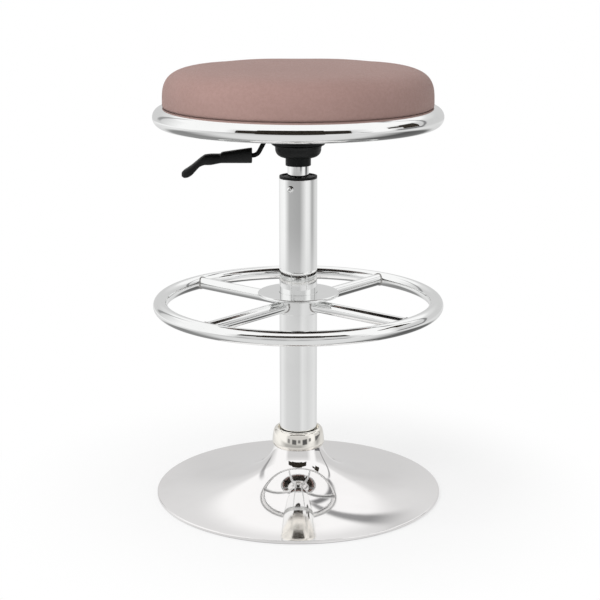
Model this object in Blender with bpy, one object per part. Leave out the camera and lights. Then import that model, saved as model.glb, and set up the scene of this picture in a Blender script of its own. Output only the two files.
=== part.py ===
"""Gas-lift bar stool: a padded round seat on a gas spring, with a foot ring and a spun trumpet base.

Metres, +Z up. The origin is on the floor under the column, and the release lever points to -X.
The lift is modelled at its lowest position.
"""

import math

import bmesh
import bpy
from mathutils import Matrix, Vector

# Clearances
FIT = 0.0003
RUNNING_FIT = 0.0003
HOLE_EASE = 0.0004
SLOT_EASE = 0.0008
CUT_PAST = 0.0020
MERGE = 0.000001

# Facets
TURN_LARGE = 40
TURN_COLUMN = 24
TURN_INNER = 16
TURN_SCREW = 12
TUBE_SIDES = 10
SPOKE_SIDES = 16
HANDLE_SIDES = 16
BALL_SIDES = 8
SMOOTH_ANGLE = math.radians(35.0)

# Trumpet base
BASE_RADIUS = 0.1925
BASE_HEIGHT = 0.0660
BASE_SHEET = 0.0016
NECK_MARGIN = 0.0080
FLARE_RISE = 0.0040
FLARE_EASE = 0.0090
FLARE_STEPS = 9
RIM_CLEARANCE = 0.0010
RIM_ROUND = 0.0012
FLOOR_RING_WIDTH = 0.0100
FLOOR_RING_HEIGHT = 0.0029
BALLAST_RADIUS = 0.1500
BALLAST_THICKNESS = 0.0040
BALLAST_HOLE = 0.0200
SOCKET_WALL = 0.0035
SOCKET_FLANGE = 0.0060
SOCKET_FOOT_WIDTH = 0.0120
SOCKET_FOOT_THICKNESS = 0.0030

# Neck collar
COLLAR_HEIGHT = 0.0242
COLLAR_TOP_WALL = 0.0050
COLLAR_BULGE = 0.0056
COLLAR_MOUTH_WIDTH = 0.0014
COLLAR_MOUTH_DEPTH = 0.0060

# Column and guide bush
COLUMN_RADIUS = 0.0250
COLUMN_WALL = 0.0018
COLUMN_TOP = 0.4317
COLUMN_FOOT = 0.0120
COLUMN_TAPER = 0.0015
END_PLATE = 0.0040
END_PLATE_EASE = 0.0030
BUSH_LENGTH = 0.1000
BUSH_LIP = 0.0015
BUSH_LIP_INSET = 0.0002
BUSH_SCREW_DROP = 0.0117
BUSH_SCREW_AZIMUTH = 246.4
BUSH_SCREW_RADIUS = 0.0018
BUSH_SCREW_HEAD = 0.0030
BUSH_SCREW_HEAD_THICKNESS = 0.0015
BUSH_SCREW_DEPTH = 0.0060

# Foot rest
FOOT_HEIGHT = 0.2640
FOOT_RING_RADIUS = 0.1830
FOOT_TUBE = 0.0095
SPOKE_RADIUS = 0.0080
SPOKE_COUNT = 4
SPOKE_AZIMUTH = 50.0
SLEEVE_WALL = 0.0032
SLEEVE_ABOVE = 0.0132
SLEEVE_BELOW = 0.0115
CAP_RADIUS = 0.0540
CAP_SHEET = 0.0015
CAP_HEIGHT = 0.0038
CAP_ROUND = 0.0022
GRUB_RADIUS = 0.0030
GRUB_AZIMUTHS = (5.0, 95.0)
GRUB_STAND = 0.0004
GRUB_SOCKET = 0.0016

# Thrust bearing, rod and piston
RACE_RADIUS = 0.0140
RACE_THICKNESS = 0.0020
BALL_RADIUS = 0.0020
BALL_COUNT = 6
CAGE_BORE = 0.0075
CAGE_THICKNESS = 0.0018
ROD_RADIUS = 0.0050
ROD_NECK = 0.0035
ROD_TAIL = 0.0060
CLIP_GROOVE_DEPTH = 0.0007
CLIP_THICKNESS = 0.0012
CLIP_REACH = 0.0020
BUMP_LENGTH = 0.0345
BUMP_BORE_EASE = 0.0006
BUMP_INSET = 0.0015
BUMP_WAIST = 0.0018
PISTON_DROP = 0.0400
PISTON_THICKNESS = 0.0120
STUD_RADIUS = 0.0030
STUD_TAIL = 0.0015
NUT_THICKNESS = 0.0042
NUT_RADIUS = 0.0062

# Gas cylinder and release button
CYLINDER_RADIUS = 0.0140
CYLINDER_WALL = 0.0025
CYLINDER_TAPER = 0.0007
CYLINDER_TAPER_START = 0.0015
CYLINDER_LIP = 0.0020
CYLINDER_LIP_BORE = 0.0085
CYLINDER_END = 0.0080
CYLINDER_ABOVE_PAN = 0.0038
GUIDE_LENGTH = 0.0150
BUTTON_STEM = 0.0030
BUTTON_HEAD = 0.0040
BUTTON_HEAD_THICKNESS = 0.0022
BUTTON_DEPTH = 0.0060
BUTTON_TRAVEL = 0.0040

# Hub under the seat
HUB_WALL = 0.0023
HUB_GAP = 0.0163
HUB_NECK = 0.0110
HUB_ABOVE_PAN = 0.0030
DOME_RADIUS = 0.0300
DOME_HEIGHT = 0.0164
DOME_CORNER = 0.0105
DOME_FLARE = 0.0045
DOME_FLARE_HEIGHT = 0.0054
DOME_WALL = 0.0020

# Mechanism plate and its bolts
PLATE_SHEET = 0.0025
PAN_RADIUS = 0.0360
PAN_DEPTH = 0.0278
PAN_BEND = 0.0030
PLATE_HALF = 0.0650
PLATE_SQUARENESS = 8.0
BOLT_SPACING = 0.0960
BOLT_RADIUS = 0.0030
BOLT_HEAD = 0.0058
BOLT_HEAD_HEIGHT = 0.0045
BOLT_ENTRY = 0.0103
INSERT_WALL = 0.0012
INSERT_LENGTH = 0.0118

# Release lever
LEVER_ROD = 0.0030
LEVER_PIVOT = 0.0265
LEVER_REACH = 0.0050
LEVER_DROP = 0.0308
LEVER_SLOPE = 62.0
LEVER_BEND_UPPER = 0.0060
LEVER_BEND_LOWER = 0.0100
LEVER_BEND_STEPS = 5
LEVER_SOCKET = 0.0255
LEVER_SWING = 0.0037
SLOT_BELOW = 0.0036
BOSS_RADIUS = 0.0048
BOSS_HALF = 0.0058
PIN_RADIUS = 0.0020
PIN_HEAD = 0.0032
PIN_HEAD_THICKNESS = 0.0012
EAR_THICKNESS = 0.0023
EAR_ABOVE_PIN = 0.0047
EAR_ROUND = 0.0040
BRACKET_FLOOR = 0.0015
BRACKET_HALF_LENGTH = 0.0052
HANDLE_ROOT = 0.0010
HANDLE_SQUARENESS = 3.0
# Handle sections from the root outwards: outward, rise, half height, half width
HANDLE_SECTIONS = (
    (0.0000, 0.0001, 0.0086, 0.0098),
    (0.0015, 0.0000, 0.0097, 0.0112),
    (0.0375, -0.0026, 0.0070, 0.0120),
    (0.0412, -0.0039, 0.0059, 0.0119),
    (0.0530, -0.0051, 0.0070, 0.0122),
    (0.0615, -0.0058, 0.0065, 0.0122),
    (0.0680, -0.0094, 0.0056, 0.0120),
    (0.0775, -0.0184, 0.0068, 0.0112),
    (0.0830, -0.0220, 0.0066, 0.0102),
    (0.0880, -0.0240, 0.0054, 0.0086),
    (0.0912, -0.0246, 0.0028, 0.0056),
)

# Seat
SEAT_RING_RADIUS = 0.1755
SEAT_TUBE = 0.0125
SEAT_RING_RISE = 0.0092
BOARD_MARGIN = 0.0055
BOARD_THICKNESS = 0.0133
DUST_MARGIN = 0.0075
DUST_THICKNESS = 0.0008
COVER = 0.0010
HEM_WIDTH = 0.0115
SEAT_OVERHANG = 0.0020
CROWN_HEIGHT = 0.0425
CROWN_RISE = 0.0258
CROWN_POWER = 3.6
CROWN_STEPS = 7
CREASE_INSET = 0.0013
SIDE_STEPS = 2
GROOVE_STEPS = 3
SIDE_FULLNESS = 0.6
TAB_COUNT = 4
TAB_AZIMUTH = 45.0
TAB_WIDTH = 0.0220
TAB_THICKNESS = 0.0030
TAB_INSET = 0.0215
TAB_END_STEPS = 5
TAB_SCREW = 0.0019
TAB_SCREW_HEAD = 0.0040
TAB_SCREW_HEAD_HEIGHT = 0.0022
TAB_SCREW_ENTRY = 0.0095

# Finishes: colour, roughness, metallic
CHROME = ((0.80, 0.79, 0.77), 0.07, 1.0)
STEEL = ((0.48, 0.48, 0.47), 0.38, 1.0)
BLACK_STEEL = ((0.010, 0.010, 0.010), 0.45, 0.0)
BLACK_PLASTIC = ((0.011, 0.011, 0.011), 0.36, 0.0)
RUBBER = ((0.014, 0.014, 0.014), 0.75, 0.0)
PLYWOOD = ((0.52, 0.36, 0.21), 0.65, 0.0)
FOAM = ((0.78, 0.70, 0.46), 0.90, 0.0)
VINYL = ((0.43, 0.30, 0.27), 0.45, 0.0)
LINING = ((0.016, 0.016, 0.016), 0.90, 0.0)

# Levels from the floor up to the bearing
NECK_RADIUS = COLUMN_RADIUS + NECK_MARGIN
FLARE_RADIUS = NECK_RADIUS + FLARE_EASE
RIM_TOP = FLOOR_RING_HEIGHT + FIT + BASE_SHEET
FLARE_LEVEL = RIM_TOP + FLARE_RISE
COLUMN_BORE = COLUMN_RADIUS - COLUMN_WALL
LOWER_RACE = COLUMN_FOOT + END_PLATE + FIT
CAGE_LEVEL = LOWER_RACE + RACE_THICKNESS + FIT
UPPER_RACE = CAGE_LEVEL + 2 * BALL_RADIUS + FIT
ROD_SHOULDER = UPPER_RACE + RACE_THICKNESS + FIT
BUMP_TOP = ROD_SHOULDER + BUMP_LENGTH
CYLINDER_FOOT = BUMP_TOP + FIT
PISTON_LEVEL = COLUMN_TOP - PISTON_DROP

# Levels from the column's top up to the seat
HUB_BOTTOM = COLUMN_TOP + HUB_GAP
HUB_RADIUS = CYLINDER_RADIUS + FIT + HUB_WALL
DOME_BOTTOM = HUB_BOTTOM + HUB_NECK
DOME_TOP = DOME_BOTTOM + DOME_HEIGHT
PAN_BOTTOM = DOME_TOP + FIT
PAN_FLOOR = PAN_BOTTOM + PLATE_SHEET
PLATE_TOP = PAN_BOTTOM + PAN_DEPTH
CYLINDER_TOP = PAN_FLOOR + CYLINDER_ABOVE_PAN
BUTTON_HEAD_BOTTOM = CYLINDER_TOP + BUTTON_TRAVEL + FIT
BUTTON_TOP = BUTTON_HEAD_BOTTOM + BUTTON_HEAD_THICKNESS
LEVER_LEVEL = BUTTON_TOP + FIT + LEVER_ROD
HANDLE_LEVEL = LEVER_LEVEL - LEVER_DROP
SEAT_RADIUS = SEAT_RING_RADIUS + SEAT_OVERHANG
BOARD_RADIUS = SEAT_RING_RADIUS - SEAT_TUBE - BOARD_MARGIN
HEM_RADIUS = BOARD_RADIUS - HEM_WIDTH
DUST_RADIUS = BOARD_RADIUS - DUST_MARGIN
TAB_START = BOARD_RADIUS - TAB_INSET
DUST_BOTTOM = PLATE_TOP + FIT
HEM_BOTTOM = DUST_BOTTOM + DUST_THICKNESS + FIT
BOARD_BOTTOM = HEM_BOTTOM + COVER + FIT
BOARD_TOP = BOARD_BOTTOM + BOARD_THICKNESS
RING_LEVEL = PLATE_TOP + SEAT_RING_RISE
CROWN_LEVEL = RING_LEVEL + CROWN_RISE
BOLT_TIP = BOARD_BOTTOM + BOLT_ENTRY
TAB_SCREW_TIP = BOARD_BOTTOM + TAB_SCREW_ENTRY
FLAT_SHARE = math.cos(math.pi / TURN_LARGE)


def clear_scene():
    """Remove every object that is in the scene at the start."""
    for present in list(bpy.data.objects):
        bpy.data.objects.remove(present, do_unlink=True)


def polar(radius, azimuth, height=0.0):
    """Point at a radius and an azimuth in degrees."""
    angle = math.radians(azimuth)
    return Vector((radius * math.cos(angle), radius * math.sin(angle), height))


def arc(centre, radii, start, end, steps):
    """Points on an elliptical arc between two angles in degrees, ends included."""
    angles = [math.radians(start + (end - start) * step / steps) for step in range(steps + 1)]
    return [(centre[0] + radii[0] * math.cos(a), centre[1] + radii[1] * math.sin(a)) for a in angles]


def bow(start, control, end, steps):
    """Points on a quadratic curve from start to end that leans towards control."""
    points = []
    for step in range(steps + 1):
        share = step / steps
        weights = ((1 - share) ** 2, 2 * share * (1 - share), share ** 2)
        points.append(tuple(
            sum(weight * point[axis] for weight, point in zip(weights, (start, control, end)))
            for axis in (0, 1)
        ))
    return points


def lathe(outline, steps):
    """Mesh turned about Z from (radius, height) points; an outline from axis to axis is a solid."""
    mesh = bmesh.new()
    points = [mesh.verts.new((radius, 0.0, height)) for radius, height in outline]
    solid = outline[0][0] == 0.0 and outline[-1][0] == 0.0
    following = points[1:] if solid else points[1:] + points[:1]
    edges = [mesh.edges.new(pair) for pair in zip(points, following)]
    bmesh.ops.spin(mesh, geom=points + edges, axis=(0, 0, 1), angle=math.tau, steps=steps, use_merge=True)
    bmesh.ops.remove_doubles(mesh, verts=mesh.verts, dist=MERGE)
    bmesh.ops.recalc_face_normals(mesh, faces=mesh.faces)
    return mesh


def tube_ring(radius, tube, level):
    """Closed round tube bent into a ring."""
    section = arc((radius, level), (tube, tube), 0.0, 360.0, TUBE_SIDES)
    return lathe(section[:-1], TURN_LARGE)


def reshape(mesh, beyond, rule):
    """Scale every point farther than a radius from the axis by a rule of its angle."""
    for vert in mesh.verts:
        if vert.co.xy.length > beyond:
            factor = rule(math.atan2(vert.co.y, vert.co.x))
            vert.co.x *= factor
            vert.co.y *= factor
    return mesh


def squircle(angle):
    """Reach of a rounded square, as a share of its half width."""
    total = abs(math.cos(angle)) ** PLATE_SQUARENESS + abs(math.sin(angle)) ** PLATE_SQUARENESS
    return total ** (-1.0 / PLATE_SQUARENESS)


def hexagon(angle):
    """Reach of a hexagon, as a share of its corner radius."""
    sector = math.pi / 3
    return math.cos(sector / 2) / math.cos(angle % sector - sector / 2)


def skin(rings, capped=True):
    """Mesh through rings of points with equal counts, closed by flat ends where asked."""
    mesh = bmesh.new()
    loops = [[mesh.verts.new(point) for point in ring] for ring in rings]
    for near, far in zip(loops, loops[1:]):
        for index in range(len(near)):
            after = (index + 1) % len(near)
            mesh.faces.new((near[index], near[after], far[after], far[index]))
    if capped:
        mesh.faces.new(loops[0])
        mesh.faces.new(loops[-1])
        bmesh.ops.recalc_face_normals(mesh, faces=mesh.faces)
    return mesh


def add_rod(mesh, radius, start, end, sides=TURN_SCREW):
    """Add a round bar between two points to a mesh."""
    run = Vector(end) - Vector(start)
    place = Matrix.Translation((Vector(start) + Vector(end)) / 2)
    turn = run.to_track_quat("Z", "Y").to_matrix().to_4x4()
    bmesh.ops.create_cone(
        mesh, cap_ends=True, segments=sides, radius1=radius, radius2=radius,
        depth=run.length, matrix=place @ turn,
    )
    return mesh


def pivot(name, place, carrier=None):
    """Empty on a joint's axis, which carries the pieces that move together."""
    empty = bpy.data.objects.new(name, None)
    bpy.context.collection.objects.link(empty)
    empty.location = place
    if carrier:
        carry(empty, carrier)
    return empty


def carry(child, carrier):
    """Parent a child whose location is given in the stool's own frame."""
    child.parent = carrier
    child.matrix_parent_inverse = Matrix.Translation(-carrier.location)


def dress(made, finish):
    """Give a piece its own material."""
    colour, roughness, metallic = finish
    material = bpy.data.materials.new(made.name)
    material.use_nodes = True
    shader = material.node_tree.nodes["Principled BSDF"]
    shader.inputs["Base Color"].default_value = (*colour, 1.0)
    shader.inputs["Roughness"].default_value = roughness
    shader.inputs["Metallic"].default_value = metallic
    made.data.materials.append(material)


def stand(name, mesh):
    """Object made from a mesh, smooth where it is round."""
    data = bpy.data.meshes.new(name)
    mesh.to_mesh(data)
    mesh.free()
    data.shade_smooth()
    data.set_sharp_from_angle(angle=SMOOTH_ANGLE)
    made = bpy.data.objects.new(name, data)
    bpy.context.collection.objects.link(made)
    return made


def piece(name, mesh, finish, carrier, place=(0.0, 0.0, 0.0), turn=(0.0, 0.0, 0.0)):
    """One physical piece of the stool."""
    made = stand(name, mesh)
    made.location = place
    made.rotation_euler = turn
    carry(made, carrier)
    dress(made, finish)
    return made


def combine(target, mesh, operation):
    """Cut a tool mesh from a piece, or join it, with the tool kept hidden at the piece's own origin."""
    tool = stand(f"{target.name}_{operation.lower()}", mesh)
    tool.parent = target
    tool.hide_render = True
    tool.display_type = "WIRE"
    modifier = target.modifiers.new(tool.name, "BOOLEAN")
    modifier.operation = operation
    modifier.solver = "EXACT"
    modifier.object = tool


def cut(target, mesh):
    """Cut a mesh out of a piece."""
    combine(target, mesh, "DIFFERENCE")


def column_at(height):
    """Outer radius of the column, which narrows in its socket."""
    share = (BASE_HEIGHT - height) / (BASE_HEIGHT - COLUMN_FOOT)
    return COLUMN_RADIUS - COLUMN_TAPER * min(max(share, 0.0), 1.0)


def cylinder_at(height):
    """Outer radius of the gas cylinder, which narrows in its hub."""
    start = HUB_BOTTOM + CYLINDER_TAPER_START
    share = (height - start) / (CYLINDER_TOP - start)
    return CYLINDER_RADIUS - CYLINDER_TAPER * min(max(share, 0.0), 1.0)


def flare_share(radius):
    """Share of the way down the trumpet at which it reaches a radius."""
    bend = BASE_RADIUS - 2 * FLARE_RADIUS + NECK_RADIUS
    ease = FLARE_RADIUS - NECK_RADIUS
    return (math.sqrt(ease ** 2 + bend * (radius - NECK_RADIUS)) - ease) / bend


def flare_point(share, depth=0.0):
    """Point of the trumpet's section at a share of the way down, and a depth below its skin."""
    rest = 1.0 - share
    radius = rest ** 2 * NECK_RADIUS + 2 * share * rest * FLARE_RADIUS + share ** 2 * BASE_RADIUS
    height = rest ** 2 * BASE_HEIGHT + 2 * share * rest * FLARE_LEVEL + share ** 2 * RIM_TOP
    run = 2 * rest * (FLARE_RADIUS - NECK_RADIUS) + 2 * share * (BASE_RADIUS - FLARE_RADIUS)
    fall = 2 * rest * (FLARE_LEVEL - BASE_HEIGHT) + 2 * share * (RIM_TOP - FLARE_LEVEL)
    length = math.hypot(run, fall)
    return radius + depth * fall / length, height - depth * run / length


def build_base(carrier):
    """Trumpet shell, what is under it, and the collar on its neck."""
    lip = BASE_RADIUS - BASE_SHEET
    skin_side = [flare_point(step / FLARE_STEPS) for step in range(FLARE_STEPS)]
    round_centre = (BASE_RADIUS - RIM_ROUND, flare_point(1.0)[1] - RIM_ROUND)
    rim = arc(round_centre, (RIM_ROUND, RIM_ROUND), 90.0, 0.0, 2)
    edge = [(BASE_RADIUS, RIM_CLEARANCE), (lip, RIM_CLEARANCE)]
    last = flare_share(lip)
    inner_side = [flare_point(last * step / FLARE_STEPS, BASE_SHEET) for step in range(FLARE_STEPS, -1, -1)]
    piece("base_trumpet", lathe(skin_side + rim + edge + inner_side, TURN_LARGE), CHROME, carrier)

    ring_outer = lip - FIT
    ring_inner = ring_outer - FLOOR_RING_WIDTH
    floor_ring = [(ring_inner, 0.0), (ring_outer, 0.0), (ring_outer, FLOOR_RING_HEIGHT),
                  (ring_inner, FLOOR_RING_HEIGHT)]
    piece("base_floor_ring", lathe(floor_ring, TURN_LARGE), RUBBER, carrier)

    ballast_top = flare_point(flare_share(BALLAST_RADIUS), BASE_SHEET)[1] - FIT
    ballast_bottom = ballast_top - BALLAST_THICKNESS
    ballast = [(BALLAST_HOLE, ballast_bottom), (BALLAST_RADIUS, ballast_bottom),
               (BALLAST_RADIUS, ballast_top), (BALLAST_HOLE, ballast_top)]
    piece("ballast_plate", lathe(ballast, TURN_LARGE), BLACK_STEEL, carrier)

    socket_bottom = ballast_top + FIT
    foot_top = socket_bottom + SOCKET_FOOT_THICKNESS
    barrel = COLUMN_RADIUS + FIT + SOCKET_WALL
    flange = NECK_RADIUS - BASE_SHEET - FIT
    socket = [(column_at(COLUMN_FOOT) + FIT, socket_bottom), (barrel + SOCKET_FOOT_WIDTH, socket_bottom),
              (barrel + SOCKET_FOOT_WIDTH, foot_top), (barrel, foot_top),
              (barrel, BASE_HEIGHT - SOCKET_FLANGE), (flange, BASE_HEIGHT - SOCKET_FLANGE),
              (flange, BASE_HEIGHT), (COLUMN_RADIUS + FIT, BASE_HEIGHT),
              (column_at(COLUMN_FOOT) + FIT, COLUMN_FOOT)]
    piece("base_socket", lathe(socket, TURN_COLUMN), STEEL, carrier)

    bottom = BASE_HEIGHT + FIT
    top = bottom + COLLAR_HEIGHT
    bore = COLUMN_RADIUS + FIT
    barrel_side = bow((NECK_RADIUS, bottom), (NECK_RADIUS + COLLAR_BULGE, (bottom + top) / 2),
                      (COLUMN_RADIUS + COLLAR_TOP_WALL, top), 6)
    mouth = [(bore + COLLAR_MOUTH_WIDTH, top), (bore + COLLAR_MOUTH_WIDTH, top - COLLAR_MOUTH_DEPTH),
             (bore, top - COLLAR_MOUTH_DEPTH), (bore, bottom)]
    piece("neck_collar", lathe(barrel_side + mouth, TURN_COLUMN), CHROME, carrier)


def build_column(carrier):
    """Column tube with the guide bush in its mouth and the screw that holds the bush."""
    end_hole = ROD_NECK + END_PLATE_EASE
    floor = COLUMN_FOOT + END_PLATE
    tube = [(end_hole, COLUMN_FOOT), (column_at(COLUMN_FOOT), COLUMN_FOOT), (COLUMN_RADIUS, BASE_HEIGHT),
            (COLUMN_RADIUS, COLUMN_TOP), (COLUMN_BORE, COLUMN_TOP), (COLUMN_BORE, BASE_HEIGHT),
            (column_at(floor) - COLUMN_WALL, floor), (end_hole, floor)]
    column = piece("column_tube", lathe(tube, TURN_COLUMN), CHROME, carrier)

    guide = COLUMN_BORE - FIT
    bore = CYLINDER_RADIUS + RUNNING_FIT
    lip_bottom = COLUMN_TOP + FIT
    lip = COLUMN_RADIUS - BUSH_LIP_INSET
    outline = [(bore, COLUMN_TOP - BUSH_LENGTH), (guide, COLUMN_TOP - BUSH_LENGTH), (guide, lip_bottom),
               (lip, lip_bottom), (lip, lip_bottom + BUSH_LIP), (bore, lip_bottom + BUSH_LIP)]
    bush = piece("column_bush", lathe(outline, TURN_COLUMN), BLACK_PLASTIC, carrier)

    level = COLUMN_TOP - BUSH_SCREW_DROP
    hole = BUSH_SCREW_RADIUS + HOLE_EASE
    blind = polar(COLUMN_BORE - BUSH_SCREW_DEPTH - FIT, BUSH_SCREW_AZIMUTH, level)
    outside = polar(COLUMN_RADIUS + CUT_PAST, BUSH_SCREW_AZIMUTH, level)
    cut(column, add_rod(bmesh.new(), hole, blind, outside))
    cut(bush, add_rod(bmesh.new(), hole, blind, outside))
    tip = COLUMN_BORE - BUSH_SCREW_DEPTH
    seat = COLUMN_RADIUS + FIT
    screw = [(0.0, tip), (BUSH_SCREW_RADIUS, tip), (BUSH_SCREW_RADIUS, seat), (BUSH_SCREW_HEAD, seat),
             (BUSH_SCREW_HEAD, seat + BUSH_SCREW_HEAD_THICKNESS), (0.0, seat + BUSH_SCREW_HEAD_THICKNESS)]
    turn = (0.0, math.radians(90.0), math.radians(BUSH_SCREW_AZIMUTH))
    piece("bush_screw", lathe(screw, TURN_SCREW), STEEL, carrier, (0.0, 0.0, level), turn)


def spoke_mesh():
    """Spoke along +X with its ends coped to the sleeve and to the foot ring."""
    sleeve = COLUMN_RADIUS + FIT + SLEEVE_WALL + FIT
    inner_ring = []
    outer_ring = []
    for side in range(SPOKE_SIDES):
        angle = math.tau * (side + 0.5) / SPOKE_SIDES
        y = SPOKE_RADIUS * math.cos(angle)
        z = SPOKE_RADIUS * math.sin(angle)
        reach = FOOT_RING_RADIUS * FLAT_SHARE - math.sqrt((FOOT_TUBE + FIT) ** 2 - z ** 2)
        inner_ring.append((math.sqrt(sleeve ** 2 - y ** 2), y, z))
        outer_ring.append((math.sqrt(reach ** 2 - y ** 2), y, z))
    mesh = skin((inner_ring, outer_ring), capped=False)
    mesh.verts.ensure_lookup_table()
    for ring_start, first in ((0, 0), (SPOKE_SIDES, SPOKE_SIDES // 4)):
        for step in range(SPOKE_SIDES // 2 - 1):
            corners = (first + step, first + step + 1, first - 2 - step, first - 1 - step)
            mesh.faces.new([mesh.verts[ring_start + corner % SPOKE_SIDES] for corner in corners])
    bmesh.ops.recalc_face_normals(mesh, faces=mesh.faces)
    return mesh


def build_foot_rest(carrier):
    """Sleeve, cap plate, spokes and ring of the foot rest, with the grub screws that clamp it."""
    bore = COLUMN_RADIUS + FIT
    outer = bore + SLEEVE_WALL
    top = FOOT_HEIGHT + SLEEVE_ABOVE
    bottom = FOOT_HEIGHT - SLEEVE_BELOW
    sleeve = piece("foot_hub_sleeve", lathe([(bore, bottom), (outer, bottom), (outer, top), (bore, top)],
                                            TURN_COLUMN), CHROME, carrier)

    under = top + FIT
    face = under + CAP_SHEET
    lip = face - CAP_HEIGHT
    inner = CAP_RADIUS - CAP_SHEET
    shoulder = arc((CAP_RADIUS - CAP_ROUND, face - CAP_ROUND), (CAP_ROUND, CAP_ROUND), 0.0, 90.0, 3)
    cap = [(bore, under), (inner - CAP_SHEET, under), (inner, under - CAP_SHEET), (inner, lip),
           (CAP_RADIUS, lip)] + shoulder + [(bore, face)]
    piece("foot_hub_cap", lathe(cap, TURN_COLUMN), CHROME, carrier)

    for index in range(SPOKE_COUNT):
        azimuth = math.radians(SPOKE_AZIMUTH + 360.0 * index / SPOKE_COUNT)
        piece(f"foot_spoke_{index + 1}", spoke_mesh(), CHROME, carrier,
              (0.0, 0.0, FOOT_HEIGHT), (0.0, 0.0, azimuth))
    piece("foot_ring", tube_ring(FOOT_RING_RADIUS, FOOT_TUBE, FOOT_HEIGHT), CHROME, carrier)

    holes = bmesh.new()
    end = outer + GRUB_STAND
    for index, azimuth in enumerate(GRUB_AZIMUTHS):
        add_rod(holes, GRUB_RADIUS + HOLE_EASE, polar(bore - CUT_PAST, azimuth, FOOT_HEIGHT),
                polar(outer + CUT_PAST, azimuth, FOOT_HEIGHT))
        grub = [(0.0, bore), (GRUB_RADIUS, bore), (GRUB_RADIUS, end), (GRUB_SOCKET, end),
                (GRUB_SOCKET, end - GRUB_SOCKET), (0.0, end - GRUB_SOCKET)]
        turn = (0.0, math.radians(90.0), math.radians(azimuth))
        piece(f"hub_grub_screw_{index + 1}", lathe(grub, TURN_SCREW), STEEL, carrier,
              (0.0, 0.0, FOOT_HEIGHT), turn)
    cut(sleeve, holes)


def build_bearing(fixed, turning):
    """Thrust bearing on the column's end plate: lower race, ball cage and upper race."""
    def race(bore, level):
        top = level + RACE_THICKNESS
        return lathe([(bore, level), (RACE_RADIUS, level), (RACE_RADIUS, top), (bore, top)], TURN_INNER)

    piece("bearing_lower_race", race(ROD_NECK + END_PLATE_EASE, LOWER_RACE), STEEL, fixed)
    piece("bearing_upper_race", race(ROD_NECK + FIT, UPPER_RACE), STEEL, turning)

    middle = CAGE_LEVEL + BALL_RADIUS
    bottom = middle - CAGE_THICKNESS / 2
    top = middle + CAGE_THICKNESS / 2
    outline = [(CAGE_BORE, bottom), (RACE_RADIUS, bottom), (RACE_RADIUS, top), (CAGE_BORE, top)]
    cage = piece("bearing_cage", lathe(outline, TURN_INNER), STEEL, turning)
    balls = bmesh.new()
    for index in range(BALL_COUNT):
        place = polar((CAGE_BORE + RACE_RADIUS) / 2, 360.0 * index / BALL_COUNT, middle)
        bmesh.ops.create_uvsphere(balls, u_segments=BALL_SIDES, v_segments=BALL_SIDES // 2,
                                  radius=BALL_RADIUS, matrix=Matrix.Translation(place))
    combine(cage, balls, "UNION")


def build_lift_rod(carrier):
    """Piston rod held under the end plate by its clip, with the bump stop and the piston."""
    groove = ROD_NECK - CLIP_GROOVE_DEPTH
    clip_top = COLUMN_FOOT - FIT
    clip_bottom = clip_top - CLIP_THICKNESS
    rod = [(0.0, ROD_TAIL), (ROD_NECK, ROD_TAIL), (ROD_NECK, clip_bottom - FIT), (groove, clip_bottom - FIT),
           (groove, clip_top + FIT), (ROD_NECK, clip_top + FIT), (ROD_NECK, ROD_SHOULDER),
           (ROD_RADIUS, ROD_SHOULDER), (ROD_RADIUS, PISTON_LEVEL), (STUD_RADIUS, PISTON_LEVEL)]
    piston_bottom = PISTON_LEVEL + FIT
    nut_bottom = piston_bottom + PISTON_THICKNESS + FIT
    rod_top = nut_bottom + NUT_THICKNESS + STUD_TAIL
    rod += [(STUD_RADIUS, rod_top), (0.0, rod_top)]
    piece("piston_rod", lathe(rod, TURN_INNER), CHROME, carrier)

    clip_outer = ROD_NECK + END_PLATE_EASE + CLIP_REACH
    clip = [(groove + FIT, clip_bottom), (clip_outer, clip_bottom), (clip_outer, clip_top),
            (groove + FIT, clip_top)]
    piece("rod_clip", lathe(clip, TURN_INNER), STEEL, carrier)

    bump_outer = CYLINDER_RADIUS - BUMP_INSET
    bump_bore = ROD_RADIUS + BUMP_BORE_EASE
    waist = bump_outer - BUMP_WAIST
    middle = (ROD_SHOULDER + BUMP_TOP) / 2
    bump = [(bump_bore, ROD_SHOULDER), (bump_outer, ROD_SHOULDER), (waist, middle), (bump_outer, BUMP_TOP),
            (bump_bore, BUMP_TOP)]
    piece("bump_stop", lathe(bump, TURN_INNER), RUBBER, carrier)

    bore = STUD_RADIUS + FIT
    outer = CYLINDER_RADIUS - CYLINDER_WALL - RUNNING_FIT
    top = piston_bottom + PISTON_THICKNESS
    piston = [(bore, piston_bottom), (outer, piston_bottom), (outer, top), (bore, top)]
    piece("piston", lathe(piston, TURN_INNER), STEEL, carrier)

    nut_top = nut_bottom + NUT_THICKNESS
    nut = lathe([(bore, nut_bottom), (NUT_RADIUS, nut_bottom), (NUT_RADIUS, nut_top), (bore, nut_top)],
                TURN_SCREW)
    piece("piston_nut", reshape(nut, (bore + NUT_RADIUS) / 2, hexagon), STEEL, carrier)


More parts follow.
